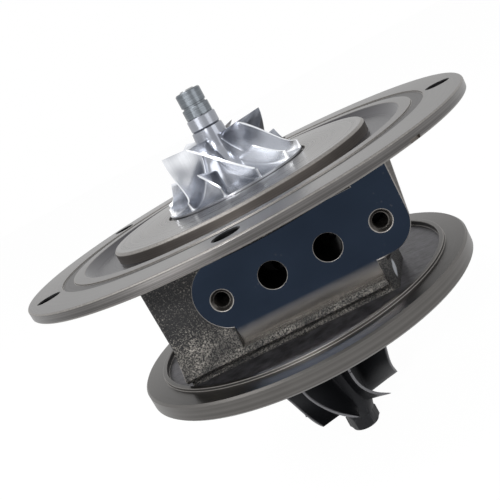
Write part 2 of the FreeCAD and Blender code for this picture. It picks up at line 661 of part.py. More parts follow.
def make_bush(label, top):
    """A floating bronze bush with oil holes and a groove round its middle."""
    body = new_body(label)
    middle = "-(%s) - bush_length / 2" % top
    turned(body, [
        ("journal_radius + journal_gap", "-(%s)" % top),
        ("bush_radius - bush_groove", "-(%s)" % top),
        ("bush_radius", "-(%s) - bush_groove" % top),
        ("bush_radius", middle + " + bush_port"),
        ("bush_radius - bush_groove", middle + " + bush_port"),
        ("bush_radius - bush_groove", middle + " - bush_port"),
        ("bush_radius", middle + " - bush_port"),
        ("bush_radius", "-(%s) - bush_length + bush_groove" % top),
        ("bush_radius - bush_groove", "-(%s) - bush_length" % top),
        ("journal_radius + journal_gap", "-(%s) - bush_length" % top),
    ])
    port = plane_sketch(body, "YZ_Plane")
    add_circle(port, "0", middle, "bush_hole")
    repeated(body, drawn(body, "Pocket", port, "bush_radius + slip", reverse=True), "bush_holes")
    return body


def make_shaft():
    """The shaft, with its spindle, journals, flinger and the hub of the turbine seal."""
    body = new_body("rotor_shaft")
    shoulder = "-thrust_top - thrust_thick - face_gap - collar_thick"
    turned(body, [
        ("0", "shaft_top"),
        ("spindle_radius - rim_edge", "shaft_top"),
        ("spindle_radius", "shaft_top - rim_edge"),
        ("spindle_radius", shoulder),
        ("journal_radius", shoulder),
        ("journal_radius", "-waist_top"),
        ("waist_radius", "-waist_top - rim_edge"),
        ("waist_radius", "rim_edge - waist_bottom"),
        ("journal_radius", "-waist_bottom"),
        ("journal_radius", "-journal_end"),
        ("flinger_radius", "-journal_end - rim_edge"),
        ("flinger_radius", "-journal_end - flinger_thick"),
        ("neck_radius", "-journal_end - flinger_thick"),
        ("neck_radius", "-hub_top"),
        ("hub_radius", "-hub_top"),
        ("hub_radius", "-turbine_ring_depth"),
        ("hub_radius - turbine_ring_deep", "-turbine_ring_depth"),
        ("hub_radius - turbine_ring_deep", "-turbine_ring_depth - turbine_ring_tall"),
        ("hub_radius", "-turbine_ring_depth - turbine_ring_tall"),
        ("hub_radius", "-hub_bottom"),
        ("0", "-hub_bottom"),
    ])
    return body


def make_heat_shield():
    """The pressed heat shield that closes the gap behind the turbine wheel."""
    body = new_body("heat_shield")
    turned(body, [
        ("shield_bore", "-nose_bottom"),
        ("shield_radius - shield_thick", "-nose_bottom"),
        ("shield_radius", "shield_thick - nose_bottom"),
        ("shield_radius", "-seat_depth"),
        ("shield_rim", "-seat_depth"),
        ("shield_rim", "-seat_depth - shield_thick"),
        ("shield_radius + shield_thick", "-seat_depth - shield_thick"),
        ("shield_radius + shield_thick", "-nose_bottom"),
        ("shield_radius", "-nose_bottom - shield_thick"),
        ("shield_bore", "-nose_bottom - shield_thick"),
    ])
    return body


def make_lock_nut():
    """The lock nut, with a collar of flats, a groove and a plain upper part."""
    body = new_body("lock_nut")
    turned(body, [
        ("spindle_radius", "wheel_top"),
        ("nut_collar - rim_edge", "wheel_top"),
        ("nut_collar", "wheel_top + rim_edge"),
        ("nut_collar", "nut_step - rim_edge"),
        ("nut_collar - rim_edge", "nut_step"),
        ("nut_waist", "nut_step"),
        ("nut_waist", "nut_step + nut_groove"),
        ("nut_radius", "nut_step + nut_groove"),
        ("nut_radius", "nut_top - rim_edge"),
        ("nut_radius - rim_edge", "nut_top"),
        ("spindle_radius", "nut_top"),
    ])
    flat = plane_sketch(body, "XY_Plane", "nut_step")
    add_outline(flat, [
        ("nut_collar - nut_flat_cut", "-nut_collar"), ("2 * nut_collar", "-nut_collar"),
        ("2 * nut_collar", "nut_collar"), ("nut_collar - nut_flat_cut", "nut_collar"),
    ])
    repeated(body, drawn(body, "Pocket", flat, "nut_step - wheel_top + slip"), "nut_flats")
    return body


def ring_point(place, turn):
    """The point at a radius and height, turned about the shaft axis."""
    radius, height = place
    angle = math.radians(turn)
    return Vector(radius * math.cos(angle), radius * math.sin(angle), height)


def make_blade(root, tip, turn, stations, root_thick, tip_thick):
    """One twisted blade, lofted through thin four-sided sections along the flow.

    root and tip give the radius and height of the blade's two edges at a station
    from 0 at the inlet to 1 at the exit, and turn gives its angle there. Each
    section is thickened along the normal of the blade's middle surface, which is
    shared by both edges so that the section stays flat.
    """
    sections = []
    step = 0.01
    for s in stations:
        low, high = ring_point(root(s), turn(s)), ring_point(tip(s), turn(s))
        before, after = max(s - step, 0.0), min(s + step, 1.0)
        along = Vector()
        for edge in (root, tip):
            run = ring_point(edge(after), turn(after)) - ring_point(edge(before), turn(before))
            along += run.normalize()
        normal = along.cross(high - low).normalize()
        across_root, across_tip = normal * (root_thick / 2), normal * (tip_thick / 2)
        sections.append(Part.makePolygon([low + across_root, low - across_root, high - across_tip,
                                          high + across_tip, low + across_root]))
    blade = Part.makeLoft(sections, True, False)
    if blade.Volume < 0:
        blade.reverse()
    return blade


def spread(shape, count, phase):
    """Copies of a shape evenly spaced about the shaft axis."""
    copies = []
    for i in range(count):
        copy = shape.copy()
        copy.rotate(Vector(), Vector(0, 0, 1), phase + 360.0 * i / count)
        copies.append(copy)
    return copies


def revolved(edges):
    """A solid of revolution about the shaft axis from a closed chain of edges."""
    return Part.Face(Part.Wire(edges)).revolve(Vector(), Vector(0, 0, 1), 360)


def chain(spots):
    """Straight edges through radius and height pairs."""
    points = [Vector(r, 0, z) for r, z in spots]
    return [Part.LineSegment(a, b).toShape() for a, b in zip(points, points[1:])]


def quarter(wide, narrow, low, high, count=7):
    """A smooth edge along a quarter ellipse, from the wide end to the narrow end."""
    spots = []
    for i in range(count):
        u = math.radians(90.0 * i / (count - 1))
        spots.append(Vector(wide - (wide - narrow) * math.sin(u), 0,
                            high + (low - high) * math.cos(u)))
    curve = Part.BSplineCurve()
    curve.interpolate(spots)
    return curve.toShape()


def make_compressor_wheel():
    """The milled compressor wheel, with six full blades and six splitters."""
    radius, eye, base = size("wheel_radius"), size("eye_hub"), size("exit_height")
    top, rise, wrap = size("eye_height"), size("hub_height"), size("wheel_wrap")
    bore, back, hub = size("spindle_radius"), size("wheel_back"), size("nose_hub")
    step, foot = size("wheel_step"), -size("sleeve_top")
    groove, crown = size("nose_groove"), size("wheel_top")
    sink, tuck = size("rim_edge"), size("slip")
    edges = chain([(bore, crown), (bore, foot), (step, foot), (step, back), (radius - sink, back),
                   (radius, back + sink / 2), (radius, base)])
    edges.append(quarter(radius, eye, base, rise))
    edges += chain([(eye, rise), (hub + sink / 2, groove - sink), (hub - sink / 2, groove),
                    (hub, groove + sink), (hub, crown - sink), (hub - sink, crown), (bore, crown)])
    wheel = revolved(edges)

    def root(s):
        u = math.radians(90.0 * (1 - s))
        return (radius - tuck - (radius - eye + sink) * math.sin(u),
                rise - sink - (rise - base) * math.cos(u))

    def tip(s):
        u = math.radians(90.0 * (1 - s))
        return (radius - tuck - (radius - size("eye_radius")) * math.sin(u),
                top - (top - base - size("exit_width")) * math.cos(u))

    def turn(s):
        return wrap * (1 - (1 - s) ** 2)

    start = size("splitter_start")
    count = int(size("main_blades"))
    thick, thin = size("blade_root"), size("blade_tip")
    full = make_blade(root, tip, turn, [i / 8 for i in range(9)], thick, thin)
    splitter = make_blade(root, tip, turn, [start + (1 - start) * i / 5 for i in range(6)],
                          thick, thin)
    phase = size("wheel_phase")
    blades = spread(full, count, phase) + spread(splitter, count, phase + 180.0 / count)
    coded_piece("compressor_wheel", wheel.multiFuse(blades))


def make_turbine_wheel():
    """The cast turbine wheel, scalloped between its eight blades."""
    radius, exit_radius = size("turbine_radius"), size("turbine_exit_radius")
    back, outlet, wrap = size("turbine_back"), size("turbine_exit"), size("turbine_wrap")
    hub, end, disc = size("turbine_hub"), size("turbine_hub_end"), size("turbine_disc")
    weld, face, top = size("hub_radius"), size("turbine_face"), size("hub_bottom")
    hexagon, nose, edge = size("turbine_hex"), size("turbine_nose"), size("rim_edge")
    nut, neck, bend = size("turbine_nut"), size("turbine_neck"), size("turbine_bend")
    edges = chain([(0, -nose), (0, -top), (weld - edge, -top), (weld - edge, -face),
                   (disc - 3 * edge, -face - edge), (disc, -back)])
    edges.append(quarter(disc, hub, -back, -end))
    edges += chain([(hub, -end), (neck, -hexagon), (nut, edge - hexagon - nut + neck),
                    (nut, 2 * edge - nose), (nut - 2 * edge, -nose), (0, -nose)])
    wheel = revolved(edges)
    flats = Part.makePolygon([ring_point((nut, -hexagon), 60 * i) for i in range(7)])
    hex_bar = Part.Face(flats).extrude(Vector(0, 0, hexagon - nose))
    collar = Part.makeCylinder(2 * nut, nose - hexagon, Vector(0, 0, -nose))
    wheel = wheel.cut(collar.cut(hex_bar))

    def root(s):
        u = math.radians(90.0 * s)
        deep = (radius - hub + 2 * edge) * math.sin(u) ** 0.6
        return (radius - deep, -end + (end - back) * math.cos(u))

    def tip(s):
        u = math.radians(90.0 * s)
        rise = outlet - back - size("turbine_inlet")
        return (radius - (radius - exit_radius) * math.sin(u) ** 4, -outlet + rise * math.cos(u))

    def turn(s):
        return wrap * (s ** bend - 1)

    blade = make_blade(root, tip, turn, [i / 9 for i in range(10)], size("vane_root"),
                       size("vane_tip"))
    blades = spread(blade, int(size("turbine_blades")), size("turbine_phase"))
    coded_piece("turbine_wheel", wheel.multiFuse(blades))


def drill_housing(body):
    """The housing with its slanted oil drillings, as the piece that is kept."""
    doc.recompute()
    pieces.remove(body)
    body.Label = "housing_casting"
    coded_piece("bearing_housing", body.Shape.cut(oil_drillings()))


def check_and_write():
    """Stop on any failed object or bad solid, then write one file for each piece."""
    doc.recompute()
    failed = [o.Label for o in doc.Objects if "Invalid" in o.State or "Error" in o.State]
    bad = [p.Label for p in pieces if p.Shape.isNull() or not p.Shape.isValid()]
    if failed or bad:
        raise RuntimeError("failed objects %s, bad pieces %s" % (failed, bad))
    os.makedirs("parts", exist_ok=True)
    for piece in pieces:
        piece.Shape.exportStep("parts/%s.step" % piece.Label)
        print("%-24s %2d solids %9.1f mm3" % (piece.Label, len(piece.Shape.Solids),
                                              piece.Shape.Volume))


make_back_plate()
drill_housing(make_housing())
make_plate_screws()
make_seal_ring()
make_thrust_bearing()
make_deflector()
make_thrust_collar()
make_flinger_sleeve()
make_piston_rings()
make_circlips()
make_bush("compressor_bush", "bush_top")
make_bush("turbine_bush", "bush_low")
make_shaft()
make_heat_shield()
make_compressor_wheel()
make_turbine_wheel()
make_lock_nut()
check_and_write()
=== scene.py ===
import json
import math

import bmesh
import bpy
import numpy as np
from bpy.props import FloatProperty, FloatVectorProperty, IntProperty, PointerProperty
from mathutils import Matrix, Vector


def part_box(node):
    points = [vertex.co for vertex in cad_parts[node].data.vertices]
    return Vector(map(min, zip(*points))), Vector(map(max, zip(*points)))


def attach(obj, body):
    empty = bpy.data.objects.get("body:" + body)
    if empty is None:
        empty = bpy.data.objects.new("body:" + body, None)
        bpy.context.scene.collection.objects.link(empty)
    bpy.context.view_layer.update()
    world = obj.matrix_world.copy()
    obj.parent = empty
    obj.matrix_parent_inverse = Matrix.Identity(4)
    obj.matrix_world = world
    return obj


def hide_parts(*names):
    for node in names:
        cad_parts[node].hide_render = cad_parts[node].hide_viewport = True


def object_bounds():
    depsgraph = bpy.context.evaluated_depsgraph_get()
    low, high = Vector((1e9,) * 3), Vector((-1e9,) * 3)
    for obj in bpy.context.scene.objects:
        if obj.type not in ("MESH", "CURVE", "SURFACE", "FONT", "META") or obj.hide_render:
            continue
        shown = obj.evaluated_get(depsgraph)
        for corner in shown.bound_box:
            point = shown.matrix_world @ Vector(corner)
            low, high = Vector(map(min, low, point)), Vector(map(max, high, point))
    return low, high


bl_info = {
    "name": "Turbo cartridge",
    "version": (1, 0, 0),
    "blender": (4, 5, 0),
    "location": "3D View > Sidebar > Cartridge",
    "description": "Dresses a turbocharger cartridge: plate, casting, bladed wheels and stage",
    "category": "Object",
}

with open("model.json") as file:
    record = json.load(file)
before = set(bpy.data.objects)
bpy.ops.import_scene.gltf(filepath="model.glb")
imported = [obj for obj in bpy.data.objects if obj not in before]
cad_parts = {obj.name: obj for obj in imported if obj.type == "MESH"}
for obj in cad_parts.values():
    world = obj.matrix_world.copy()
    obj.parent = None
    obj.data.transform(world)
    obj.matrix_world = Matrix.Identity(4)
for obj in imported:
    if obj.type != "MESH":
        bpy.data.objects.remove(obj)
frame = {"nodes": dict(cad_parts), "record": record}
cad_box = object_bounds()
MM = 0.001
mounts = {mount["name"]: mount for mount in frame["record"]["mounts"]}


def length(name, description, default_mm, low_mm=0.0):
    """A size in metres, with its default given in millimetres."""
    return FloatProperty(name=name, description=description, default=default_mm * MM,
                         min=low_mm * MM, unit="LENGTH", precision=5)


def degrees(name, description, default):
    """An angle, with its default given in degrees."""
    return FloatProperty(name=name, description=description, default=math.radians(default),
                         subtype="ANGLE")


def ratio(name, description, default, high=1.0):
    """A plain number from zero up to a limit."""
    return FloatProperty(name=name, description=description, default=default, min=0.0, max=high,
                         subtype="FACTOR")


def whole(name, description, default, low=1):
    """A whole number."""
    return IntProperty(name=name, description=description, default=default, min=low,
                       subtype="UNSIGNED")


def shade(name, description, default):
    """A colour, with its default given as an sRGB hex value and kept linear by the sRGB curve."""
    channels = [int(default[i:i + 2], 16) / 255 for i in (1, 3, 5)]
    curve = [c / 12.92 if c <= 0.04045 else ((c + 0.055) / 1.055) ** 2.4 for c in channels]
    return FloatVectorProperty(name=name, description=description, default=(*curve, 1.0), size=4,
                               min=0.0, max=1.0, subtype="COLOR")


class PlateSizes(bpy.types.PropertyGroup):
    """Sizes of the compressor back plate that its lathe profile needs."""
    rim_inner: length("Rim inside", "Radius where the bolt rim's face ends", 63.1)
    track_inner: length("Track inside", "Radius where the sunken track ends", 59.2)
    track_depth: length("Track depth", "Depth of the sunken track", 0.5)
    land_inner: length("Land inside", "Radius where the slope into the dish starts", 55.5)
    dish_outer: length("Dish", "Radius where the dish's flat floor starts", 52.0)
    dish_depth: length("Dish depth", "Depth of the dish below the rim face", 2.7)
    boss_height: length("Boss height", "Height of the boss above the rim face", 1.2)
    boss_edge: length("Boss chamfer", "Chamfer round the top of the boss", 0.7)
    pocket_radius: length("Wheel pocket", "Radius of the pocket under the wheel", 24.4)
    pocket_depth: length("Pocket depth", "Depth of the pocket under the wheel", 1.0)
    rim_thick: length("Rim thickness", "Thickness of the bolt rim", 3.2)
    bore: length("Bore", "Radius of the seal bore", 5.5)
    edge: length("Edge", "Width of the broken edges", 0.4)
    corner: length("Corner", "Width of the small rounds on the turned corners", 0.2)
    spigot: length("Spigot", "Radius of the spigot that centres the plate", 14.0)
    spigot_length: length("Spigot length", "Length of the spigot", 3.0)
    chamber: length("Chamber", "Radius of the oil chamber", 10.4)
    roof: length("Chamber roof", "Depth of the oil chamber's roof", 5.4)
    lead: length("Hole chamfer", "Chamfer round the bolt holes", 0.35)
    screw_circle: length("Screw circle", "Distance of the plate screws from the shaft axis", 19.5)
    screw_head: length("Screw head", "Radius of the countersinks", 4.4)
    screw_shank: length("Screw shank", "Radius of the screw holes", 2.55)
    notch_width: length("Notch width", "Width of the notch in the rim's lower edge", 4.0)
    notch_tall: length("Notch height", "Height of the notch", 1.1)
    notch_deep: length("Notch depth", "Depth of the notch", 0.6)
    notch_angle: degrees("Notch angle", "Place of the notch round the rim", -48.4)
    segments: whole("Segments", "Steps round the plate", 360, 24)


class WheelSizes(bpy.types.PropertyGroup):
    """Sizes of the compressor wheel's hub and blades."""
    radius: length("Radius", "Outer radius of the wheel", 23.5)
    exit_height: length("Exit height", "Height of the hub's face at the exit", 1.9)
    exit_width: length("Exit width", "Height of the blades at the exit", 2.7)
    back: length("Back", "Height of the wheel's flat back", 0.9)
    eye_radius: length("Eye radius", "Radius of the blade tips at the eye", 17.35)
    eye_height: length("Eye height", "Height of the blade tips at the eye", 18.6)
    eye_hub: length("Eye hub", "Radius of the hub at the eye", 5.4)
    hub_height: length("Hub height", "Height at which the hub's curve ends", 18.0)
    groove: length("Groove", "Height of the turned groove in the nose", 21.1)
    nose_hub: length("Nose", "Radius of the nose", 4.82)
    top: length("Top", "Height of the nose's face", 25.0)
    step: length("Step", "Radius of the step under the wheel", 4.4)
    bore: length("Bore", "Radius of the spindle bore", 2.5)
    wrap: degrees("Wrap", "Turn of a blade from eye to exit", 48.0)
    phase: degrees("Phase", "Angle of the first blade's tip", 7.2)
    blades: whole("Full blades", "Full blades, with a splitter each", 6)
    splitter: ratio("Splitter start", "Where a splitter starts along the flow", 0.387, 0.9)
    root: length("Root thickness", "Blade thickness at the hub", 1.3)
    tip: length("Tip thickness", "Blade thickness at the tip", 0.6)
    fillet: length("Root fillet", "Radius of the fillet where a blade meets the hub", 0.9)


class TurbineSizes(bpy.types.PropertyGroup):
    """Sizes of the turbine wheel's hub and blades, as depths below the rim face."""
    radius: length("Radius", "Outer radius at the inlet", 21.8)
    exit_radius: length("Exit radius", "Radius of the blade tips at the exit", 17.5)
    back: length("Back", "Depth of the blades' back edge", 56.0)
    inlet: length("Inlet", "Height of the blades at the inlet", 7.0)
    outlet: length("Outlet", "Depth of the blade tips at the exit", 81.5)
    hub: length("Hub", "Radius of the hub at the exit", 6.3)
    hub_end: length("Hub end", "Depth at which the hub's curve ends", 84.0)
    disc: length("Disc", "Radius of the scalloped disc", 14.5)
    face: length("Face", "Depth of the wheel's back face", 55.0)
    weld: length("Weld", "Radius of the weld boss", 7.8)
    weld_top: length("Weld top", "Depth of the weld", 53.0)
    neck: length("Neck", "Radius of the neck above the nose's hexagon", 5.2)
    nut: length("Hexagon", "Radius over the corners of the nose's hexagon", 5.6)
    hexagon: length("Hexagon depth", "Depth at which the hexagon starts", 88.0)
    nose: length("Nose", "Depth of the nose's end", 92.9)
    edge: length("Edge", "Width of the broken edges", 0.4)
    wrap: degrees("Wrap", "Turn of a blade from inlet to exit", 34.0)
    bend: ratio("Bend", "Power of the flow with which a blade turns", 5.0, 9.0)
    phase: degrees("Phase", "Angle of the first blade's exit", 4.0)
    blades: whole("Blades", "Number of blades", 8)
    root: length("Root thickness", "Blade thickness at the hub", 1.7)
    tip: length("Tip thickness", "Blade thickness at the tip", 0.8)
    fillet: length("Root fillet", "Radius of the fillet where a blade meets the hub", 1.2)


class DetailSizes(bpy.types.PropertyGroup):
    """Sizes of the threads and broken edges that the scene adds to the casting."""
    machined_edge: length("Machined edge", "Broken edge between a machined and a cast face", 0.2)
    lip_reach: length("Lip reach", "Radius up to which machined edges are broken bright", 52.0)
    cast_edge: length("Cast edge", "Round between two cast faces", 0.5)
    ear_margin: length("Ear margin", "Width of the ear beyond its stud", 7.9)
    ear_radius: length("Ear radius", "Radius of the ear's ground face", 9.1)
    ear_drop: length("Ear drop", "Depth of the ear's middle below its stud", 0.8)
    ear_top: length("Ear top", "Depth below which, and distance in front of the shaft from which, "
                    "the ear's skin is drawn in", 12.0)
    ear_reach: length("Ear reach", "Radius within which the skin counts as the ear's", 54.5)
    ear_keep: ratio("Ear keep", "Share of the skin's width that is kept low down", 0.12)
    thread_pitch: length("Thread pitch", "Pitch of the stud threads", 1.0)
    thread_crest: length("Thread crest", "Inner radius of the stud threads", 2.2)
    thread_root: length("Thread root", "Radius at the bottom of the stud threads", 2.49)
    thread_start: length("Thread start", "Depth of the first thread below the pad", 1.2)
    thread_length: length("Thread length", "Length of the stud threads", 11.0)
    thread_wall: length("Thread wall", "Depth of the sleeve's outer wall in the casting", 0.3)
    flange_from: length("Flange from", "Radius from which the flange is turned", 49.3)
    floor_from: length("Floor from", "Radius from which level faces may be oiled floor", 30.0)
    floor_depth: length("Floor depth", "Depth from which level faces may be oiled floor", 43.0)
    bore_end: length("Bore end", "Distance from the shaft plane at which the bores end", 5.0)
    mouth: length("Mouth", "Radius round a stud that holds its countersink", 3.4)


class FinishColours(bpy.types.PropertyGroup):
    """Colours of the finishes."""
    turned: shade("Turned iron", "Fine turned rim of the back plate", "#62605f")
    boss: shade("Turned boss", "Boss of the plate, turned with a finer feed", "#72706f")
    track: shade("Matte track", "Sunken track, dull from the form tool", "#5b5a5a")
    dish: shade("Turned dish", "Floor of the dish, cut with a coarser feed", "#4b4a4d")
    wall: shade("Dark wall", "Boss wall that the lathe tool left dull", "#67625e")
    # Partly painted highlight: broken edges are lighter partly as bare metal and partly as the edge
    # highlight painted in; the dust specks on the pad use this colour too.
    bright: shade("Broken edge", "Freshly broken edges of the machined faces", "#7f7c79")
    # Painted shade: the holes are near black for the shade inside them.
    bore: shade("Bore", "Drilled and tapped holes", "#1b1b1c")
    tapped: shade("Tapped", "Threads and countersinks of the stud holes", "#55524f")
    cast: shade("Cast iron", "Sand cast skin, oiled", "#19191b")
    grain: shade("Cast grain", "Bright grains of the blasted skin", "#a5a098")
    # Painted reflection: the ground face is near black blue for the dark reflection it shows.
    pad: shade("Ground pad", "Ground sealing face, dark in its reflection", "#222a36")
    # Painted reflection: the lighter lower edge of the ground face stands in for the flare's
    # reflection.
    pad_foot_reflection: shade("Pad foot", "Lower edge of the ground face, rubbed lighter", "#8a857f")
    flange: shade("Turned flange", "Turned face and rim of the lower flange", "#605e5c")
    oiled: shade("Oiled floor", "Oiled floor between the casting and the flange", "#5c5b5f")
    milled: shade("Milled aluminium", "Bright five-axis milled alloy", "#eceef2")
    # Painted shade: the darker alloy deep between the blades stands in for the shade there.
    milled_root_shade: shade("Milled root", "The same alloy deep between the blades", "#83868e")
    alloy: shade("Turbine alloy", "Dark heat-resisting casting", "#17181b")
    # Painted highlight: the lighter turbine blade edges stand in for their highlight.
    alloy_edge_highlight: shade("Turbine edge", "Dressed edges of the turbine blades", "#6a6a6d")
    nut: shade("Nut steel", "Turned steel of the lock nut", "#6d7277")
    ground: shade("Ground steel", "Ground shaft and collars", "#9a9b9c")
    bronze: shade("Bearing bronze", "Turned leaded bronze", "#b08a4c")
    sheet: shade("Shield sheet", "Pressed heat-resisting sheet", "#6a6763")
    rubber: shade("Rubber", "Moulded seal rubber", "#101010")
    blackened: shade("Blackened steel", "Oil-blackened screws and clips", "#2a2a2c")
    paint: shade("Paint", "Brushed inspection mark under the ear", "#d5d8de")


class StageSizes(bpy.types.PropertyGroup):
    """The camera and the light level."""
    lens: FloatProperty(name="Lens", description="Focal length on a 36 mm wide sensor",
                        default=53.92, unit="CAMERA")
    place: FloatVectorProperty(name="Camera", description="Place of the camera", subtype="XYZ",
                               unit="LENGTH", default=(0.02982, -0.23607, 0.03008))
    yaw: degrees("Yaw", "Turn of the view from +Y towards +X", -8.78)
    pitch: degrees("Pitch", "Tilt of the view below the horizon", 11.95)
    roll: degrees("Roll", "Turn of the picture about the line of sight", -28.81)
    floor_gap: length("Floor gap", "Gap between the turbine nose and the floor", 0.3)
    ambient: ratio("Ambient", "Strength of the studio's soft light", 0.4)
    cover: ratio("Floor cover", "Share of plain white in the seen floor", 0.93)
    glow: ratio("Floor glow", "Strength of the seen floor's plain white", 1.04, 2.0)
    floor_reach: length("Floor reach", "Half the width of the floor", 3000.0)


class CartridgeSettings(bpy.types.PropertyGroup):
    """All sizes and colours of the cartridge."""
    plate: PointerProperty(type=PlateSizes)
    wheel: PointerProperty(type=WheelSizes)
    turbine: PointerProperty(type=TurbineSizes)
    detail: PointerProperty(type=DetailSizes)
    finish: PointerProperty(type=FinishColours)
    stage: PointerProperty(type=StageSizes)


# Surfaces

LONGEST_ROUND = 0.45  # the share of a profile's side that one corner's round may take
SHARP = 32.0  # degrees from which an edge is shaded sharp
BROKEN = 38.0  # degrees from which a plain edge is broken
CUT = 35.0  # degrees from which a machined edge is broken
FLAT = 0.4  # degrees up to which neighbours count as one flat face
SAME_PLACE = 0.0001 * MM  # the gap that is closed in a made piece
SAME_CAD_PLACE = 0.001 * MM  # the gap that is closed in a copy of a CAD piece
CELL = 0.01 * MM  # points in one cell of this size count as one place in mark
WHEEL_STEPS = 192  # steps round the hub of a wheel
HOLE_STEPS = 48  # steps round a hole
ROOT_CROWDING = 1.3  # the power that crowds a blade's points towards its root
FILLET_FALL = 0.45  # the share of its radius over which a fillet's growth falls to 1/e
END_ROUND = 14  # a blade closes to a round over this fraction of the flow at each end


def carried(profile, count):
    """The points of a profile of radius and height pairs turned about Z.

    A point at step i is (r cos a, r sin a, z) with a = 360 degrees times i over the count.
    """
    turn = np.linspace(0, 2 * np.pi, count, endpoint=False)
    radius, height = np.asarray(profile, float).T
    return np.stack([np.outer(np.cos(turn), radius), np.outer(np.sin(turn), radius),
                     np.tile(height, (count, 1))], axis=2)


def turned_about(points, angle):
    """Points turned about Z: x cos a - y sin a, x sin a + y cos a, z."""
    x, y, z = np.moveaxis(points, -1, 0)
    cos, sin = np.cos(angle), np.sin(angle)
    return np.stack(np.broadcast_arrays(x * cos - y * sin, x * sin + y * cos, z), axis=-1)


def grid_faces(rows, columns, wrap_rows, wrap_columns):
    """Four-sided faces between neighbours on a grid, closed where it wraps."""
    i = np.arange(rows if wrap_rows else rows - 1)
    j = np.arange(columns if wrap_columns else columns - 1)
    a, b = np.meshgrid(i, j, indexing="ij")
    c, d = (a + 1) % rows, (b + 1) % columns
    corners = [a * columns + b, c * columns + b, c * columns + d, a * columns + d]
    return np.stack(corners, axis=-1).reshape(-1, 4)


def softened(profile, width, steps=3):
    """A closed profile with each sharp corner cut by a small round of the given width.

    The round is the quadratic curve from a point short of the corner to one past it.
    """
    points = np.asarray(profile, float)

    def near(neighbours):
        way = neighbours - points
        reach = np.minimum(width / np.linalg.norm(way, axis=1), LONGEST_ROUND)
        return (points + way * reach[:, None])[:, None]

    start, end = near(np.roll(points, 1, axis=0)), near(np.roll(points, -1, axis=0))
    t = np.linspace(0, 1, steps)[None, :, None]
    curve = (1 - t) ** 2 * start + 2 * t * (1 - t) * points[:, None] + t ** 2 * end
    return curve.reshape(-1, 2)


def quarter(wide, narrow, low, high, count):
    """Radius and height pairs along a quarter ellipse, from its wide end to its narrow end."""
    u = np.linspace(0, np.pi / 2, count)
    return np.stack([wide - (wide - narrow) * np.sin(u), high + (low - high) * np.cos(u)], axis=1)


def values_of(items, name, width=1, kind=float):
    """One value of each item of a mesh, or a row of them."""
    values = np.zeros(len(items) * width, kind)
    items.foreach_get(name, values)
    return values if width == 1 else values.reshape(-1, width)


def face_places(mesh):
    """Each face's middle, its normal, and its mean distance from Z over its corners."""
    points = values_of(mesh.vertices, "co", 3)
    corners = values_of(mesh.loops, "vertex_index", kind=np.int32)
    starts = values_of(mesh.polygons, "loop_start", kind=np.int32)
    radius = np.hypot(*points[corners, :2].T)
    sums = np.add.reduceat(radius, starts)
    sizes = np.diff(np.append(starts, len(corners)))
    return (values_of(mesh.polygons, "center", 3), values_of(mesh.polygons, "normal", 3),
            sums / sizes)


def mesh_of(name, points, faces):
    """A new mesh from points and faces."""
    mesh = bpy.data.meshes.new(name)
    mesh.from_pydata(np.asarray(points).reshape(-1, 3).tolist(), [], np.asarray(faces).tolist())
    return mesh


def cleaned(mesh, gap):
    """Joins the points that lie within a gap and turns the faces outwards."""
    tidy = bmesh.new()
    tidy.from_mesh(mesh)
    bmesh.ops.remove_doubles(tidy, verts=tidy.verts, dist=gap)
    bmesh.ops.recalc_face_normals(tidy, faces=tidy.faces)
    tidy.to_mesh(mesh)
    tidy.free()


def linked(name, data):
    """A new object for a mesh, a lamp or a camera, linked into the scene."""
    made = bpy.data.objects.new(name, data)
    bpy.context.scene.collection.objects.link(made)
    return made


def new_piece(name, points, faces, finishes, body, stands_for, sharp=SHARP, zone=None):
    """A shown piece from points and faces, closed at its poles, with its normals outwards.

    zone, where given, takes the faces' places and normals and returns each face's finish.
    """
    mesh = mesh_of(name, points, faces)
    cleaned(mesh, SAME_PLACE)
    return shown(name, mesh, finishes, body, stands_for, sharp, zone)


def shown(name, mesh, finishes, body, stands_for, sharp=SHARP, zone=None):
    """Puts a finished mesh into the scene as a piece that rides on a body."""
    mesh.validate()
    for finish in finishes:
        mesh.materials.append(finish)
    if zone:
        marks = zone(*face_places(mesh))
        mesh.polygons.foreach_set("material_index", np.asarray(marks, np.int32))
    mesh.shade_smooth()
    mesh.set_sharp_from_angle(angle=math.radians(sharp))
    piece = linked(name, mesh)
    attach(piece, body)
    for node in stands_for:
        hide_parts(node)
    return piece


def mark(mesh, name, points, values):
    """Stores a value on each vertex, taken from the original point at its place."""
    weights = np.array([1, 20011, 20011 ** 2])  # one whole number for each cell of the grid

    def cells(places):
        return np.round(places / CELL).astype(np.int64) @ weights

    keys, known = cells(values_of(mesh.vertices, "co", 3)), cells(np.asarray(points))
    order = np.argsort(known)
    found = order[np.clip(np.searchsorted(known[order], keys), 0, len(order) - 1)]
    marks = mesh.attributes.new(name, "FLOAT", "POINT")
    marks.data.foreach_set("value", np.asarray(values)[found].astype(np.float32))


def weigh_edges(tidy, machined, reach):
    """Gives full bevel weight to sharp edges with a machined face on either side.

    Edges that lie beyond the reach from the shaft axis keep a plain corner.
    """
    layer = tidy.edges.layers.float.new("bevel_weight_edge")
    for edge in tidy.edges:
        if len(edge.link_faces) == 2 and edge.calc_face_angle() > math.radians(CUT):
            sides = {face.material_index for face in edge.link_faces}
            if sides & machined and edge.verts[0].co.xy.length < reach:
                edge[layer] = 1.0


def broken(piece, width, limit, finish=-1):
    """A modifier that breaks edges, chosen by their angle or their weight."""
    bevel = piece.modifiers.new("Broken edges", "BEVEL")
    bevel.width = width
    bevel.segments = 2
    bevel.limit_method = limit
    bevel.angle_limit = math.radians(BROKEN)
    bevel.material = finish
    bevel.harden_normals = True
    bevel.use_clamp_overlap = finish < 0


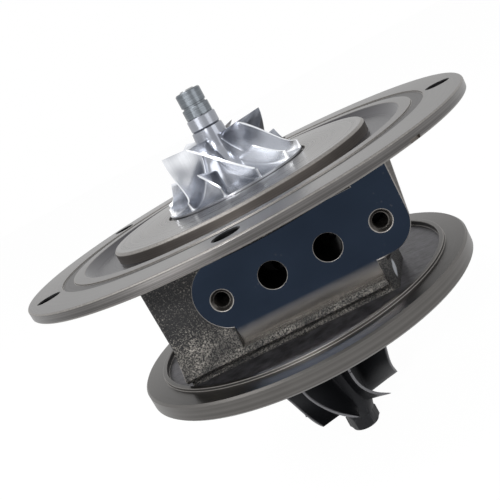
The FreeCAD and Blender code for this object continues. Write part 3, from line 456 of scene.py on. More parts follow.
def merged_copy(node, name, finishes, body, edge=0.0, zone=None, machined=frozenset(),
                reach=1.0, cut_edge=0.0, shape=None):
    """A copy of a node with its loose triangles joined, its flat faces whole and its edges broken.

    shape, where given, takes the joined points and returns them where the real skin lies.
    """
    mesh = frame["nodes"][node].data.copy()
    mesh.name = name
    mesh.materials.clear()
    for layer in list(mesh.attributes):
        if layer.name == "custom_normal":
            mesh.attributes.remove(layer)
    cleaned(mesh, SAME_CAD_PLACE)
    if shape:
        mesh.vertices.foreach_set("co", shape(values_of(mesh.vertices, "co", 3)).ravel())
    piece = shown(name, mesh, finishes, body, [node], zone=zone)
    tidy = bmesh.new()
    tidy.from_mesh(mesh)
    bmesh.ops.dissolve_limit(tidy, angle_limit=math.radians(FLAT), verts=tidy.verts,
                             edges=tidy.edges, delimit={"MATERIAL", "SHARP"})
    # Broken machined edges take the last finish, the broken-edge one, partly a painted highlight.
    if machined:
        weigh_edges(tidy, machined, reach)
        broken(piece, cut_edge, "WEIGHT", len(finishes) - 1)
    tidy.to_mesh(mesh)
    tidy.free()
    if edge:
        broken(piece, edge, "ANGLE")
    return piece


def blade_set(sizes, root, tip, turn, start, stations, across, angles):
    """Points and faces of a set of twisted blades, and the share of the height of each point.

    The middle surface is P(s, h) = root(s) + h (tip(s) - root(s)), turned about Z by turn(s).
    Each side is P plus or minus half the thickness times the surface's normal. The thickness
    runs evenly from root to tip, grows by a fillet at the root, and closes to a round at both
    ends of the flow.
    """
    s = np.linspace(start, 1.0, stations)
    h = np.linspace(0, 1, across) ** ROOT_CROWDING
    foot, rim = root(s)[:, None], tip(s)[:, None]
    radius, height = np.moveaxis(foot + h[None, :, None] * (rim - foot), -1, 0)
    middle = turned_about(np.stack([radius, 0 * radius, height], axis=2), turn(s)[:, None])
    normal = np.cross(np.gradient(middle, axis=0), np.gradient(middle, axis=1))
    normal /= np.linalg.norm(normal, axis=2, keepdims=True)
    rise = np.linalg.norm(middle - middle[:, :1], axis=2)
    thick = sizes.tip + (sizes.root - sizes.tip) * (1 - h)[None, :]
    thick = thick + 2 * sizes.fillet * np.exp(-rise / (FILLET_FALL * sizes.fillet))
    share = np.linspace(0, 1, len(s))
    ends = np.sqrt(np.clip(np.minimum(share, 1 - share) * END_ROUND, 0.0, 1.0))
    half = normal * (thick * ends[:, None])[..., None] / 2
    ring = np.concatenate([middle + half, (middle - half)[:, ::-1]], axis=1)
    heights = np.tile(np.concatenate([h, h[::-1]]), len(s) * len(angles))
    faces = grid_faces(*ring.shape[:2], False, True)
    points, faces = joined([(turned_about(ring, angle), faces) for angle in angles])
    return points, faces, heights


def joined(parts):
    """Several point and face sets as one, with the faces' numbers moved on."""
    points, faces, base = [], [], 0
    for some_points, some_faces in parts:
        some_points = np.asarray(some_points).reshape(-1, 3)
        points.append(some_points)
        faces.append(np.asarray(some_faces) + base)
        base += len(some_points)
    return np.concatenate(points), np.concatenate(faces)


# Finishes


def add_node(tree, kind, inputs=(), **settings):
    """Adds a node with its settings and its inputs, each a value or a socket to link from."""
    node = tree.nodes.new(kind)
    for name, value in settings.items():
        setattr(node, name, value)
    for socket, source in dict(inputs).items():
        if isinstance(source, bpy.types.NodeSocket):
            tree.links.new(source, node.inputs[socket])
        else:
            node.inputs[socket].default_value = source
    return node


class Finish:
    """A finish in the making: a material, its shader and its places in object coordinates."""

    def __init__(self, name, colour, metallic, roughness):
        self.material = bpy.data.materials.new(name)
        self.material.use_nodes = True
        self.tree = self.material.node_tree
        self.surface = self.tree.nodes["Principled BSDF"]
        self.colour = tuple(colour)
        self.surface.inputs["Base Color"].default_value = self.colour
        self.surface.inputs["Metallic"].default_value = metallic
        self.surface.inputs["Roughness"].default_value = roughness
        self.place = self.add("ShaderNodeTexCoord").outputs["Object"]

    def add(self, kind, inputs=(), **settings):
        """A new node of this finish."""
        return add_node(self.tree, kind, inputs, **settings)

    def drive(self, socket, source):
        """Links a value or a colour into a socket of the shader."""
        self.tree.links.new(source, self.surface.inputs[socket])

    def axis(self, letter):
        """One coordinate of the places."""
        return self.add("ShaderNodeSeparateXYZ", {"Vector": self.place}).outputs[letter]

    def attribute(self, name):
        """A value that is stored on the mesh."""
        return self.add("ShaderNodeAttribute", attribute_name=name).outputs["Fac"]

    def noise(self, scale, detail=2.0, roughness=0.5, place=None):
        """Noise with a scale per metre, at the object's places or at others."""
        return self.add("ShaderNodeTexNoise", {
            "Scale": scale, "Detail": detail, "Roughness": roughness,
            "Vector": self.place if place is None else place}).outputs[0]

    def bands(self, scale, detail, along):
        """Noise with a scale per metre along one value."""
        return self.add("ShaderNodeTexNoise", {"Scale": scale, "Detail": detail, "W": along},
                        noise_dimensions="1D").outputs[0]

    def calc(self, operation, *terms):
        """The result of an operation on values, each a number or a socket."""
        return self.add("ShaderNodeMath", enumerate(terms), operation=operation).outputs[0]

    def vector(self, operation, output, inputs):
        """The result of an operation on places."""
        return self.add("ShaderNodeVectorMath", inputs, operation=operation).outputs[output]

    def ranged(self, source, low, high, start=0.0, stop=1.0):
        """A value carried from one range to another, held at its ends."""
        return self.add("ShaderNodeMapRange", {
            "From Min": start, "From Max": stop, "To Min": low, "To Max": high,
            "Value": source}).outputs["Result"]

    def blend(self, first, second, factor):
        """A colour between two others, each a colour or a socket."""
        return self.add("ShaderNodeMix", {"Factor": factor, 6: first, 7: second},
                        data_type="RGBA").outputs[2]

    def tint(self, dark, light, factor):
        """The base colour between a darker and a lighter share of it, by a factor."""
        shares = [(*[min(c * share, 1) for c in self.colour[:3]], 1) for share in (dark, light)]
        mixed = self.blend(*shares, factor)
        self.drive("Base Color", mixed)
        return mixed

    def bump(self, height, depth_mm):
        """Raises the surface by a share of a depth."""
        self.drive("Normal", self.add("ShaderNodeBump", {
            "Distance": depth_mm * MM, "Height": height}).outputs["Normal"])


def turned_metal(name, colour, roughness, pitch_mm, depth_mm, flow=0.5, contrast=0.24):
    """Metal turned on a lathe: rings of the tool's feed round the shaft axis.

    The feed is finer than the render can show, so it is drawn as rings of about a pitch, with
    bands of four pitches and patches of 14 mm over them where the tool's load changed.
    """
    metal = Finish(name, colour, 1.0, roughness)
    flat = metal.vector("MULTIPLY", "Vector", {0: metal.place, 1: (1, 1, 0)})
    along = metal.calc("ADD", metal.vector("LENGTH", "Value", {0: flat}), metal.axis("Z"))
    rings = metal.bands(1 / (pitch_mm * MM), 3.0, along)
    bands = metal.bands(1 / (4 * pitch_mm * MM), 2.0, along)
    patches = metal.noise(1 / (14 * MM), 4.0)
    marks = metal.calc("MULTIPLY", patches, 0.2)
    for source in (bands, rings):
        marks = metal.calc("MULTIPLY_ADD", source, 0.4, marks)
    metal.tint(1 - contrast, 1 + contrast, metal.ranged(marks, 0.0, 1.0, 0.38, 0.62))
    metal.drive("Roughness", metal.ranged(marks, roughness * 0.75, roughness * 1.3))
    metal.bump(rings, depth_mm)
    metal.surface.inputs["Anisotropic"].default_value = flow
    tangent = metal.add("ShaderNodeTangent", direction_type="RADIAL", axis="Z")
    metal.drive("Tangent", tangent.outputs[0])
    return metal.material


def brushed_mark(iron, start, stop, wide):
    """One on a straight stroke between two places in millimetres, falling to zero at its width."""
    start, stop = Vector(start) * MM, Vector(stop) * MM
    run = stop - start
    away = iron.vector("SUBTRACT", "Vector", {0: iron.place, 1: start})
    along = iron.vector("DOT_PRODUCT", "Value", {0: away, 1: run / run.length_squared})
    near = iron.vector("SCALE", "Vector", {0: run, "Scale": iron.ranged(along, 0.0, 1.0)})
    gap = iron.vector("DISTANCE", "Value", {0: away, 1: near})
    return iron.ranged(gap, 1.0, 0.0, wide * 0.6 * MM, wide * MM)


def sand_cast_iron(colours):
    """Sand cast and shot-blasted grey iron: dark oiled skin with bright grains of about 0.5 mm.

    The grains lie thinly on the upper skin and thickly on the flare at its foot, a painted
    highlight for the light that the flare catches, and painted shade thins them where the skin
    turns away round the ear. A brushed inspection mark runs down under the ear.
    """
    iron = Finish("sand_cast_iron", colours.cast, 0.4, 0.5)
    flare = (-34 * MM, -25 * MM)  # the heights over which the grains, a painted highlight on the flare, thin out
    side = (28.4 * MM, 29.2 * MM)  # where the skin turns round to the ear's side, which painted shade darkens
    grain = iron.noise(1 / (0.5 * MM), 3.0, 0.7)
    # Painted highlight: more bright grains low down, for the light that the flare catches.
    flare_light = iron.ranged(iron.axis("Z"), 1.0, 0.0, *flare)
    thick = iron.calc("MULTIPLY_ADD", flare_light, 0.12, grain)
    peaks = iron.ranged(thick, 0.0, 1.0, 0.55, 0.8)
    worn = iron.ranged(iron.noise(1 / (7 * MM), 3.0), 0.3, 1.0, 0.35, 0.65)
    # Painted shade: fewer bright grains where the skin turns away round the ear.
    cheek_shade = iron.ranged(iron.axis("X"), 1.0, 0.25, *side)
    bright = iron.calc("MULTIPLY", iron.calc("MULTIPLY", peaks, worn), cheek_shade)
    skin = iron.blend(colours.cast, colours.grain, bright)
    bend = (32.4, -23.8, -38.8)
    strokes = [brushed_mark(iron, (34.2, -28.3, -34.6), bend, 1.2),
               brushed_mark(iron, (32.4, -24.2, -38.8), (31.9, -26.5, -39.6), 2.2)]
    iron.drive("Base Color", iron.blend(skin, colours.paint, iron.calc("MAXIMUM", *strokes)))
    iron.drive("Roughness", iron.ranged(grain, 0.62, 0.36, 0.3, 0.75))
    iron.bump(grain, 0.3)
    return iron.material


def ground_pad(colours):
    """Ground sealing face: mirror smooth along X, with very fine straight scratches.

    Its dark colour is a painted reflection. Its lower edge is painted lighter over 5 mm, a painted
    reflection of the flare below, and a few specks of about 0.3 mm lie on it.
    """
    face = Finish("ground_pad", colours.pad, 1.0, 0.2)
    drawn = (30, 400, 900)  # scratches a metre along each axis, so long in X
    edge = (-38.2 * MM, -33.0 * MM)  # the heights over which the painted reflection at the lower edge fades
    stretch = face.add("ShaderNodeMapping", {"Scale": drawn, "Vector": face.place})
    lines = face.noise(1.0, 3.0, place=stretch.outputs[0])
    cloud = face.noise(1 / (18 * MM))
    foot = face.ranged(face.axis("Z"), 1.0, 0.0, *edge)
    # Painted reflection: the lower edge blends to the lighter colour.
    reflected = face.blend(face.tint(0.78, 1.3, cloud), colours.pad_foot_reflection, foot)
    cells = face.add("ShaderNodeTexVoronoi", {"Scale": 1 / (1.6 * MM), "Vector": face.place})
    dots = face.ranged(cells.outputs["Distance"], 0.22, 0.0, 0.08, 0.2)
    dusty = face.ranged(cloud, 0.0, 1.0, 0.58, 0.66)
    face.drive("Base Color", face.blend(reflected, colours.bright, face.calc("MULTIPLY", dots, dusty)))
    face.drive("Roughness", face.ranged(lines, 0.15, 0.3))
    face.bump(lines, 0.004)
    return face.material


def milled_aluminium(colours):
    """Five-axis milled aluminium: bright, with fine tool paths along the blades.

    It is painted darker towards the blades' roots and on the hub, a painted shade, and the
    blades' edges are painted bright, a painted highlight.
    """
    alloy = Finish("milled_aluminium", colours.milled, 1.0, 0.22)
    share = alloy.attribute("blade_height")
    lines = alloy.bands(14.0, 2.0, alloy.attribute("tool_path"))
    cloud = alloy.noise(1 / (11 * MM), 0.0)
    # Painted shade darkens the alloy towards the blades' roots and on the hub, and a painted
    # highlight lights the blades' edges.
    depth = alloy.ranged(share, 0.0, 1.0, -0.45, 0.55)
    gloss = alloy.ranged(cloud, 0.3, 1.2, 0.4, 0.6)
    streaks = alloy.ranged(lines, 0.85, 1.0, 0.35, 0.6)
    body = alloy.calc("MULTIPLY", alloy.calc("MULTIPLY", depth, gloss), streaks)
    lit = alloy.calc("MAXIMUM", body, alloy.ranged(share, 0.0, 0.9, 0.97, 1.0))
    alloy.drive("Base Color", alloy.blend(colours.milled_root_shade, colours.milled, lit))
    alloy.drive("Roughness", alloy.ranged(cloud, 0.16, 0.3))
    return alloy.material


def turbine_casting(colours):
    """Heat-resisting alloy as cast: dark with a fine grain, with a painted highlight on the edges.
    """
    alloy = Finish("turbine_alloy_casting", colours.alloy, 0.4, 0.5)
    alloy.surface.inputs["Specular IOR Level"].default_value = 0.3
    grain = alloy.noise(1 / (0.5 * MM), 4.0)
    # Painted highlight on the blades' edges, near the top of their height.
    edge = alloy.ranged(alloy.attribute("blade_height"), 0.0, 1.0, 0.95, 0.99)
    skin = alloy.tint(0.7, 1.4, grain)
    alloy.drive("Base Color", alloy.blend(skin, colours.alloy_edge_highlight, edge))
    alloy.drive("Roughness", alloy.ranged(grain, 0.42, 0.58))
    alloy.bump(grain, 0.015)
    return alloy.material


def dull_metal(name, colour, roughness, grain_mm, depth_mm, metallic=1.0, spread=0.5):
    """Metal with a fine even grain, as cast, pressed or blackened.

    The spread is how far the noise runs to either side of its middle, from the darkest to the
    lightest tint.
    """
    metal = Finish(name, colour, metallic, roughness)
    grain = metal.noise(1 / (grain_mm * MM), 4.0)
    metal.tint(0.6, 1.5, metal.ranged(grain, 0.0, 1.0, 0.5 - spread, 0.5 + spread))
    metal.drive("Roughness", metal.ranged(grain, roughness * 0.8, roughness * 1.25))
    metal.bump(grain, depth_mm)
    return metal.material


# Each row gives the material's name, its roughness, and the pitch and depth of its marks in
# millimetres. Then come the flow and contrast of turned metal.
TURNED = {
    "turned": ("fine_turned_iron", 0.3, 0.45, 0.006, 0.5, 0.3),
    "boss": ("turned_boss_iron", 0.28, 0.4, 0.006, 0.5, 0.34),
    "track": ("matte_turned_track", 0.5, 0.5, 0.01, 0.2),
    "dish": ("coarse_turned_dish", 0.32, 0.6, 0.006, 0.5, 0.24),
    "wall": ("dull_turned_wall", 0.42, 0.5, 0.006, 0.2),
    "flange": ("turned_flange_iron", 0.34, 0.8, 0.004, 0.5, 0.13),
    "nut": ("turned_nut_steel", 0.26, 0.35, 0.001, 0.0, 0.12),
    "ground": ("ground_shaft_steel", 0.22, 0.3, 0.002),
    "bronze": ("bearing_bronze", 0.35, 0.4, 0.004),
}
# The same for dull metal, with its metallic share and its spread at the end.
DULL = {
    # Broken edges: lighter, partly a painted highlight.
    "bright": ("broken_edge_iron", 0.45, 0.6, 0.002),
    "tapped": ("tapped_iron", 0.4, 0.5, 0.01),
    # Bores: near black, painted shade inside the holes.
    "bore": ("drilled_iron", 0.45, 0.5, 0.01),
    "oiled": ("oiled_cast_floor", 0.45, 3.0, 0.25, 0.7, 0.16),
    "rubber": ("moulded_seal_rubber", 0.6, 0.4, 0.01, 0.0),
    "blackened": ("blackened_steel", 0.45, 0.4, 0.005),
    "sheet": ("pressed_shield_steel", 0.38, 0.6, 0.006),
}


def make_finishes(colours):
    """Every finish of the cartridge by name."""
    made = {"cast": sand_cast_iron(colours), "pad": ground_pad(colours),
            "milled": milled_aluminium(colours), "alloy": turbine_casting(colours)}
    for kind, rows in ((turned_metal, TURNED), (dull_metal, DULL)):
        for key, (name, *values) in rows.items():
            made[key] = kind(name, getattr(colours, key), *values)
    return made


finishes = {}


# Operators


class CARTRIDGE_OT_back_plate(bpy.types.Operator):
    """Makes the turned back plate, with its rim holes, track, dish and boss"""
    bl_idname = "cartridge.back_plate"
    bl_label = "Back plate"

    def execute(self, context):
        sizes = context.scene.cartridge.plate
        low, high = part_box("back_plate")
        rim = high.x
        boss = mounts["compressor_register"]["dims"]["r_mm"] * MM
        back = low.z + sizes.spigot_length
        floor = sizes.boss_height - sizes.pocket_depth
        coarse = [
            (sizes.bore, floor), (sizes.pocket_radius, floor),
            (sizes.pocket_radius, sizes.boss_height),
            (boss - sizes.boss_edge, sizes.boss_height),
            (boss, sizes.boss_height - sizes.boss_edge), (boss, -sizes.dish_depth),
            (sizes.dish_outer, -sizes.dish_depth),
            (sizes.land_inner, 0), (sizes.track_inner, 0), (sizes.track_inner, -sizes.track_depth),
            (sizes.rim_inner, -sizes.track_depth), (sizes.rim_inner, 0),
            (rim - sizes.edge, 0), (rim, -sizes.edge),
            (rim, sizes.edge - sizes.rim_thick), (rim - sizes.edge, -sizes.rim_thick),
            (sizes.land_inner - back - sizes.rim_thick, -sizes.rim_thick), (sizes.land_inner, back),
            (sizes.spigot, back), (sizes.spigot, low.z), (sizes.chamber, low.z),
            (sizes.chamber, -sizes.roof), (sizes.bore, -sizes.roof),
        ]
        profile = softened(coarse, sizes.corner)
        points = carried(profile, sizes.segments)
        faces = grid_faces(*points.shape[:2], True, True)
        slack = 0.1 * MM
        upright, level = 0.2, 0.97  # how far the normals of such faces lie along Z

        def zone(middles, normals, radius):
            height, tilt = middles[:, 2], np.abs(normals[:, 2])
            track = (radius > sizes.track_inner) & (radius < sizes.rim_inner)
            track &= np.abs(height + sizes.track_depth) < slack
            dish = (radius > boss) & (radius < sizes.land_inner)
            dish &= (height < -slack) & (height > back)
            wall = (np.abs(radius - boss) < slack) & (tilt < upright)
            # Rounds and sloped faces take the broken-edge finish, partly a painted highlight.
            edge = (tilt > upright) & (tilt < level) & (height > -sizes.rim_thick) & ~dish
            top = (radius < boss) & (height > 0)
            return np.select([edge, wall, track, dish, top], [4, 2, 1, 3, 5], 0)

        kinds = [finishes[name] for name in ("turned", "track", "wall", "dish", "bright", "boss")]
        plate = new_piece("turned_back_plate", points, faces, kinds, "housing", ["back_plate"],
                          zone=zone)
        self.drill(context, plate, sizes)
        even = plate.modifiers.new("Even shading", "WEIGHTED_NORMAL")
        even.keep_sharp = True  # the large faces lead the shading beside the small rounds
        return {"FINISHED"}

    def drill(self, context, plate, sizes):
        """Cuts the bolt holes, the countersinks and the rim's notch with one set of cutters."""
        floor = sizes.boss_height - sizes.pocket_depth
        over, under = 2 * MM, -12 * MM
        cone = sizes.screw_head - sizes.screw_shank
        countersink = [(0, under), (sizes.screw_shank, under), (sizes.screw_shank, floor - cone),
                       (sizes.screw_head, floor), (sizes.screw_head, over), (0, over)]
        jobs = [(countersink, turned_about(np.array([sizes.screw_circle, 0, 0]), angle))
                for angle in np.arange(4) * np.pi / 2]
        for name, mount in mounts.items():
            if name.startswith("rim_hole"):
                radius = mount["dims"]["r_mm"] * MM
                wide = radius + sizes.lead
                hole = [(0, under), (radius, under), (radius, -sizes.lead), (wide, 0),
                        (wide, over), (0, over)]
                jobs.append((hole, np.array([*mount["pos_m"][:2], 0])))
        cutters = []
        for profile, place in jobs:
            points = carried(profile, HOLE_STEPS) + place
            cutters.append((points, grid_faces(*points.shape[:2], True, False)))
        outer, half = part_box("back_plate")[1].x, sizes.notch_width / 2
        box = np.array([[outer + deep, side, tall - sizes.rim_thick]
                        for deep in (-sizes.notch_deep, sizes.notch_deep)
                        for side in (-half, half)
                        for tall in (-sizes.notch_tall, sizes.notch_tall)])
        sides = [[0, 1, 3, 2], [4, 6, 7, 5], [0, 4, 5, 1], [2, 3, 7, 6], [0, 2, 6, 4], [1, 5, 7, 3]]
        cutters.append((turned_about(box, sizes.notch_angle), np.array(sides)))
        points, faces = joined(cutters)
        mesh = mesh_of("rim_cutters", points, faces)
        # Hole walls take the near black bore finish, painted shade.
        mesh.materials.append(finishes["bore"])
        mesh.materials.append(finishes["wall"])
        in_notch = np.arange(len(faces)) >= len(faces) - len(sides)
        mesh.polygons.foreach_set("material_index", in_notch.astype(np.int32))
        cleaned(mesh, SAME_PLACE)
        tool = linked("rim_cutters", mesh)
        cut = plate.modifiers.new("Rim cuts", "BOOLEAN")
        cut.object = tool
        cut.operation = "DIFFERENCE"
        cut.solver = "EXACT"
        cut.material_mode = "TRANSFER"
        context.view_layer.update()
        graph = context.evaluated_depsgraph_get()
        result = bpy.data.meshes.new_from_object(plate.evaluated_get(graph))
        plate.modifiers.clear()
        plate.data = result
        result.set_sharp_from_angle(angle=math.radians(SHARP))
        bpy.data.objects.remove(tool)


class CARTRIDGE_OT_housing(bpy.types.Operator):
    """Dresses the bearing housing: cast skin, ground pad and turned flange"""
    bl_idname = "cartridge.housing"
    bl_label = "Bearing housing"

    def execute(self, context):
        detail = context.scene.cartridge.detail

        pad = mounts["oil_pad_face"]["pos_m"][1]
        grounds = (pad, mounts["drain_face"]["pos_m"][1])
        under = mounts["turbine_flange_face"]["pos_m"][2]
        port = mounts["oil_feed_port"]["dims"]["r_mm"] * MM
        holes = [mounts[name]["pos_m"][0] for name in ("oil_feed_port", "oil_return_port")]
        pair = mounts["oil_pad_studs"]
        middle, half = pair["pos_m"][0], pair["dims"]["spacing_x_mm"] * MM / 2
        studs = [middle - half, middle + half]
        depth = pair["pos_m"][2]
        slack = 0.05 * MM
        level, square, sloped = 0.99, 0.9, 0.5  # how far the faces' normals lie along an axis

        def zone(middles, normals, radius):
            x, y, z = middles.T
            facing = np.abs(normals[:, 1])
            ground = np.any([np.abs(y - face) < slack for face in grounds], axis=0)
            ground &= facing > square
            turned = (radius > detail.flange_from) | (z < under + 2 * slack)
            floor = (radius > detail.floor_from) & (z < -detail.floor_depth)
            floor &= normals[:, 2] > level
            bores, mouths = np.zeros(len(x), bool), np.zeros(len(x), bool)
            for spots, reach in ((holes, port), (studs, detail.mouth)):
                for spot in spots:
                    inside = (np.hypot(x - spot, z - depth) < reach) & (y < -detail.bore_end)
                    cone = inside & (facing > sloped) & (y < pad + MM)
                    # Faces inside the ports and stud holes take the near black bore finish, painted
                    # shade.
                    bores |= inside & ~cone
                    mouths |= cone
            return np.select([ground, bores, mouths, turned, floor], [1, 3, 5, 2, 4], 0)

        names = ("cast", "pad", "flange", "bore", "oiled", "tapped", "bright")
        kinds = [finishes[name] for name in names]
        ear_x, ear_z = studs[1] + detail.ear_margin - detail.ear_radius, depth - detail.ear_drop
        edge_x = ear_x + detail.ear_radius

        def lean(points):
            """The ear's skin drawn in towards its ground face, by more the lower it lies.

            The part of each point's distance beyond the ground face's edge is scaled from one
            under the plate down to a small share at the ear's middle and round its arc.
            """
            moved = points.copy()
            x, y, z = points.T
            front = y < -detail.ear_top
            keep = np.clip((z - ear_z) / (-detail.ear_top - ear_z), detail.ear_keep, 1.0)
            side = front & (x > edge_x) & (z > ear_z) & (np.hypot(x, y) < detail.ear_reach)
            moved[side, 0] = edge_x + (x[side] - edge_x) * keep[side]
            away = np.hypot(x - ear_x, z - ear_z)
            arc = (away > detail.ear_radius) & (away < 1.3 * detail.ear_radius)
            arc &= front & (x > ear_x) & (z <= ear_z)
            away = away[arc]
            share = (detail.ear_radius + (away - detail.ear_radius) * detail.ear_keep) / away
            moved[arc, 0] = ear_x + (x[arc] - ear_x) * share
            moved[arc, 2] = ear_z + (z[arc] - ear_z) * share
            return moved

        merged_copy("bearing_housing", "cast_bearing_housing", kinds, "housing",
                    edge=detail.cast_edge, zone=zone, machined={1, 2}, reach=detail.lip_reach,
                    cut_edge=detail.machined_edge, shape=lean)
        for number, spot in enumerate(studs, start=1):
            self.thread(detail, "stud_thread_%d" % number, spot, pad, depth)
        return {"FINISHED"}

    def thread(self, detail, name, x, face, z):
        """A threaded sleeve in a stud hole.

        Its inner radius runs from crest to root and back once a pitch, and the wave moves along
        the axis by one pitch a turn. Its outer wall lies in the casting.
        """
        turn = np.linspace(0, 2 * np.pi, HOLE_STEPS, endpoint=False)[:, None]
        run = np.linspace(0, detail.thread_length, 120)[None, :]
        wave = np.abs(2 * np.mod(run / detail.thread_pitch + turn / (2 * np.pi), 1) - 1)
        inner = detail.thread_root + (detail.thread_crest - detail.thread_root) * wave
        outer = np.full((len(turn), 2), detail.thread_root + detail.thread_wall)
        radius = np.concatenate([inner, outer], axis=1)
        along = face + detail.thread_start + np.concatenate([run[0], run[0, [-1, 0]]])
        points = np.stack([x + radius * np.cos(turn), np.broadcast_to(along, radius.shape),
                           z + radius * np.sin(turn)], axis=2)
        new_piece(name, points, grid_faces(*points.shape[:2], True, True), [finishes["tapped"]],
                  "housing", [])


def compressor_curves(sizes):
    """The blade's root and tip edges and its turn, as functions of the share of the flow.

    Both edges are quarter ellipses. The root lies sunk in the hub, and both end just short of
    the wheel's rim.
    """
    sink, short = 0.4 * MM, 0.02 * MM

    def edge(s, wide, high, tall):
        u = np.pi / 2 * (1 - s)
        return np.stack([sizes.radius - short - wide * np.sin(u), high - tall * np.cos(u)], axis=1)

    def root(s):
        return edge(s, sizes.radius - sizes.eye_hub + sink, sizes.hub_height - sink,
                    sizes.hub_height - sizes.exit_height)

    def tip(s):
        return edge(s, sizes.radius - sizes.eye_radius, sizes.eye_height,
                    sizes.eye_height - sizes.exit_height - sizes.exit_width)

    def turn(s):
        return sizes.wrap * (1 - (1 - s) ** 2)

    return root, tip, turn


class CARTRIDGE_OT_compressor_wheel(bpy.types.Operator):
    """Makes the milled compressor wheel, with full blades and splitters"""
    bl_idname = "cartridge.compressor_wheel"
    bl_label = "Compressor wheel"

    def execute(self, context):
        sizes = context.scene.cartridge.wheel
        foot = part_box("compressor_wheel")[0].z
        small = 0.3 * MM
        lower = [(sizes.bore, foot), (sizes.step, foot), (sizes.step, sizes.back),
                 (sizes.radius - small, sizes.back), (sizes.radius, sizes.back + small),
                 (sizes.radius, sizes.exit_height)]
        curve = quarter(sizes.radius, sizes.eye_hub, sizes.exit_height, sizes.hub_height, 40)
        nose, groove, top = sizes.nose_hub, sizes.groove, sizes.top
        upper = [(nose + small, groove - small), (nose - small, groove), (nose, groove + small),
                 (nose, top - small), (nose - small, top), (sizes.bore, top)]
        profile = np.concatenate([lower, curve[1:], upper])
        hub = carried(profile, WHEEL_STEPS)
        hub_faces = grid_faces(*hub.shape[:2], True, True)
        root, tip, turn = compressor_curves(sizes)
        pitch = 2 * np.pi / sizes.blades
        angles = sizes.phase + pitch * np.arange(sizes.blades)
        full = blade_set(sizes, root, tip, turn, 0.0, 56, 18, angles)
        half = blade_set(sizes, root, tip, turn, sizes.splitter, 42, 16, angles - pitch / 2)
        points, faces = joined([(hub, hub_faces), full[:2], half[:2]])
        piece = new_piece("milled_compressor_wheel", points, faces, [finishes["milled"]], "rotor",
                          ["compressor_wheel"], sharp=40)
        path_step, paths_on_blade = 4 * MM, 3
        # The hub's shares set how far the painted shade of the milled finish darkens the nose and
        # the floor between the blades.
        nose_share, floor_share = -0.36, -0.08
        paths = np.tile(np.hypot(*profile.T) / path_step, len(hub))
        on_nose = profile[:, 1] > 0.8 * sizes.hub_height
        hub_share = np.tile(np.where(on_nose, nose_share, floor_share), len(hub))
        mark(piece.data, "tool_path", points,
             np.concatenate([paths, full[2] * paths_on_blade, half[2] * paths_on_blade]))
        mark(piece.data, "blade_height", points, np.concatenate([hub_share, full[2], half[2]]))
        return {"FINISHED"}


class CARTRIDGE_OT_turbine_wheel(bpy.types.Operator):
    """Makes the cast turbine wheel, scalloped between its blades"""
    bl_idname = "cartridge.turbine_wheel"
    bl_label = "Turbine wheel"

    def execute(self, context):
        t = context.scene.cartridge.turbine
        curve = quarter(t.disc, t.hub, -t.back, -t.hub_end, 36)
        profile = np.concatenate([[(0, -t.weld_top), (t.weld, -t.weld_top), (t.weld, -t.face),
                                   (t.disc - 3 * t.edge, -t.face - t.edge)], curve,
                                  [(t.neck, -t.hexagon), (t.nut, -t.hexagon - t.edge),
                                   (t.nut, -t.nose + 2 * t.edge), (t.nut - 2 * t.edge, -t.nose),
                                   (0, -t.nose)]])
        hub = carried(profile, WHEEL_STEPS)
        self.flatten(hub, t)
        hub_faces = grid_faces(*hub.shape[:2], True, False)

        def root(s):  # a quarter ellipse that turns in early, a little sunk in the hub
            u = np.pi / 2 * s
            deep = (t.radius - t.hub + 2 * t.edge) * np.sin(u) ** 0.6
            return np.stack([t.radius - deep,
                             -t.hub_end + (t.hub_end - t.back) * np.cos(u)], axis=1)

        def tip(s):  # straight down at first, and in to the exit radius late
            u = np.pi / 2 * s
            rise = t.outlet - t.back - t.inlet
            return np.stack([t.radius - (t.radius - t.exit_radius) * np.sin(u) ** 4,
                             -t.outlet + rise * np.cos(u)], axis=1)

        def turn(s):
            return t.wrap * (s ** t.bend - 1)

        angles = t.phase + 2 * np.pi / t.blades * np.arange(t.blades)
        blades = blade_set(t, root, tip, turn, 0.0, 56, 18, angles)
        points, faces = joined([(hub, hub_faces), blades[:2]])
        piece = new_piece("cast_turbine_wheel", points, faces, [finishes["alloy"]], "rotor",
                          ["turbine_wheel"], sharp=40)
        mark(piece.data, "blade_height", points,
             np.concatenate([np.zeros(hub.size // 3), blades[2]]))
        return {"FINISHED"}

    def flatten(self, hub, t):
        """Gives the nose six flats: a radius is at most the apothem over the angle's cosine."""
        radius = np.hypot(hub[..., 0], hub[..., 1])
        angle = np.arctan2(hub[..., 1], hub[..., 0])
        flat = np.mod(angle, np.pi / 3) - np.pi / 6
        limit = t.nut * np.cos(np.pi / 6) / np.cos(flat)
        on_nose = hub[..., 2] < -t.hexagon - t.edge / 2
        scale = np.where(on_nose & (radius > limit), limit / np.maximum(radius, 1e-9), 1.0)
        hub[..., 0] *= scale
        hub[..., 1] *= scale


class CARTRIDGE_OT_inner_parts(bpy.types.Operator):
    """Dresses the nut, shaft, bearings, seals, clips, screws and heat shield"""
    bl_idname = "cartridge.inner_parts"
    bl_label = "Inner parts"

    def execute(self, context):
        merged = {"lock_nut": ("nut", "rotor", "nut_steel", 0.1),
                  "rotor_shaft": ("ground", "rotor", "shaft_steel", 0.0),
                  "heat_shield": ("sheet", "housing", "sheet_steel", 0.0)}
        for node, (look, body, slot, edge_mm) in merged.items():
            merged_copy(node, "finished_" + node, [finishes[look]], body, edge=edge_mm * MM)
        plain = {"blackened": ("back_plate_screws", "circlip_top", "circlip_upper",
                               "circlip_lower", "circlip_bottom"),
                 "bronze": ("thrust_bearing", "compressor_bush", "turbine_bush"),
                 "ground": ("thrust_collar", "flinger_sleeve", "compressor_piston_ring",
                            "turbine_piston_ring"),
                 "rubber": ("plate_seal_ring",), "sheet": ("oil_deflector",)}
        for look, nodes in plain.items():
            for node in nodes:
                mesh = frame["nodes"][node].data
                mesh.materials.clear()
                mesh.materials.append(finishes[look])
        return {"FINISHED"}


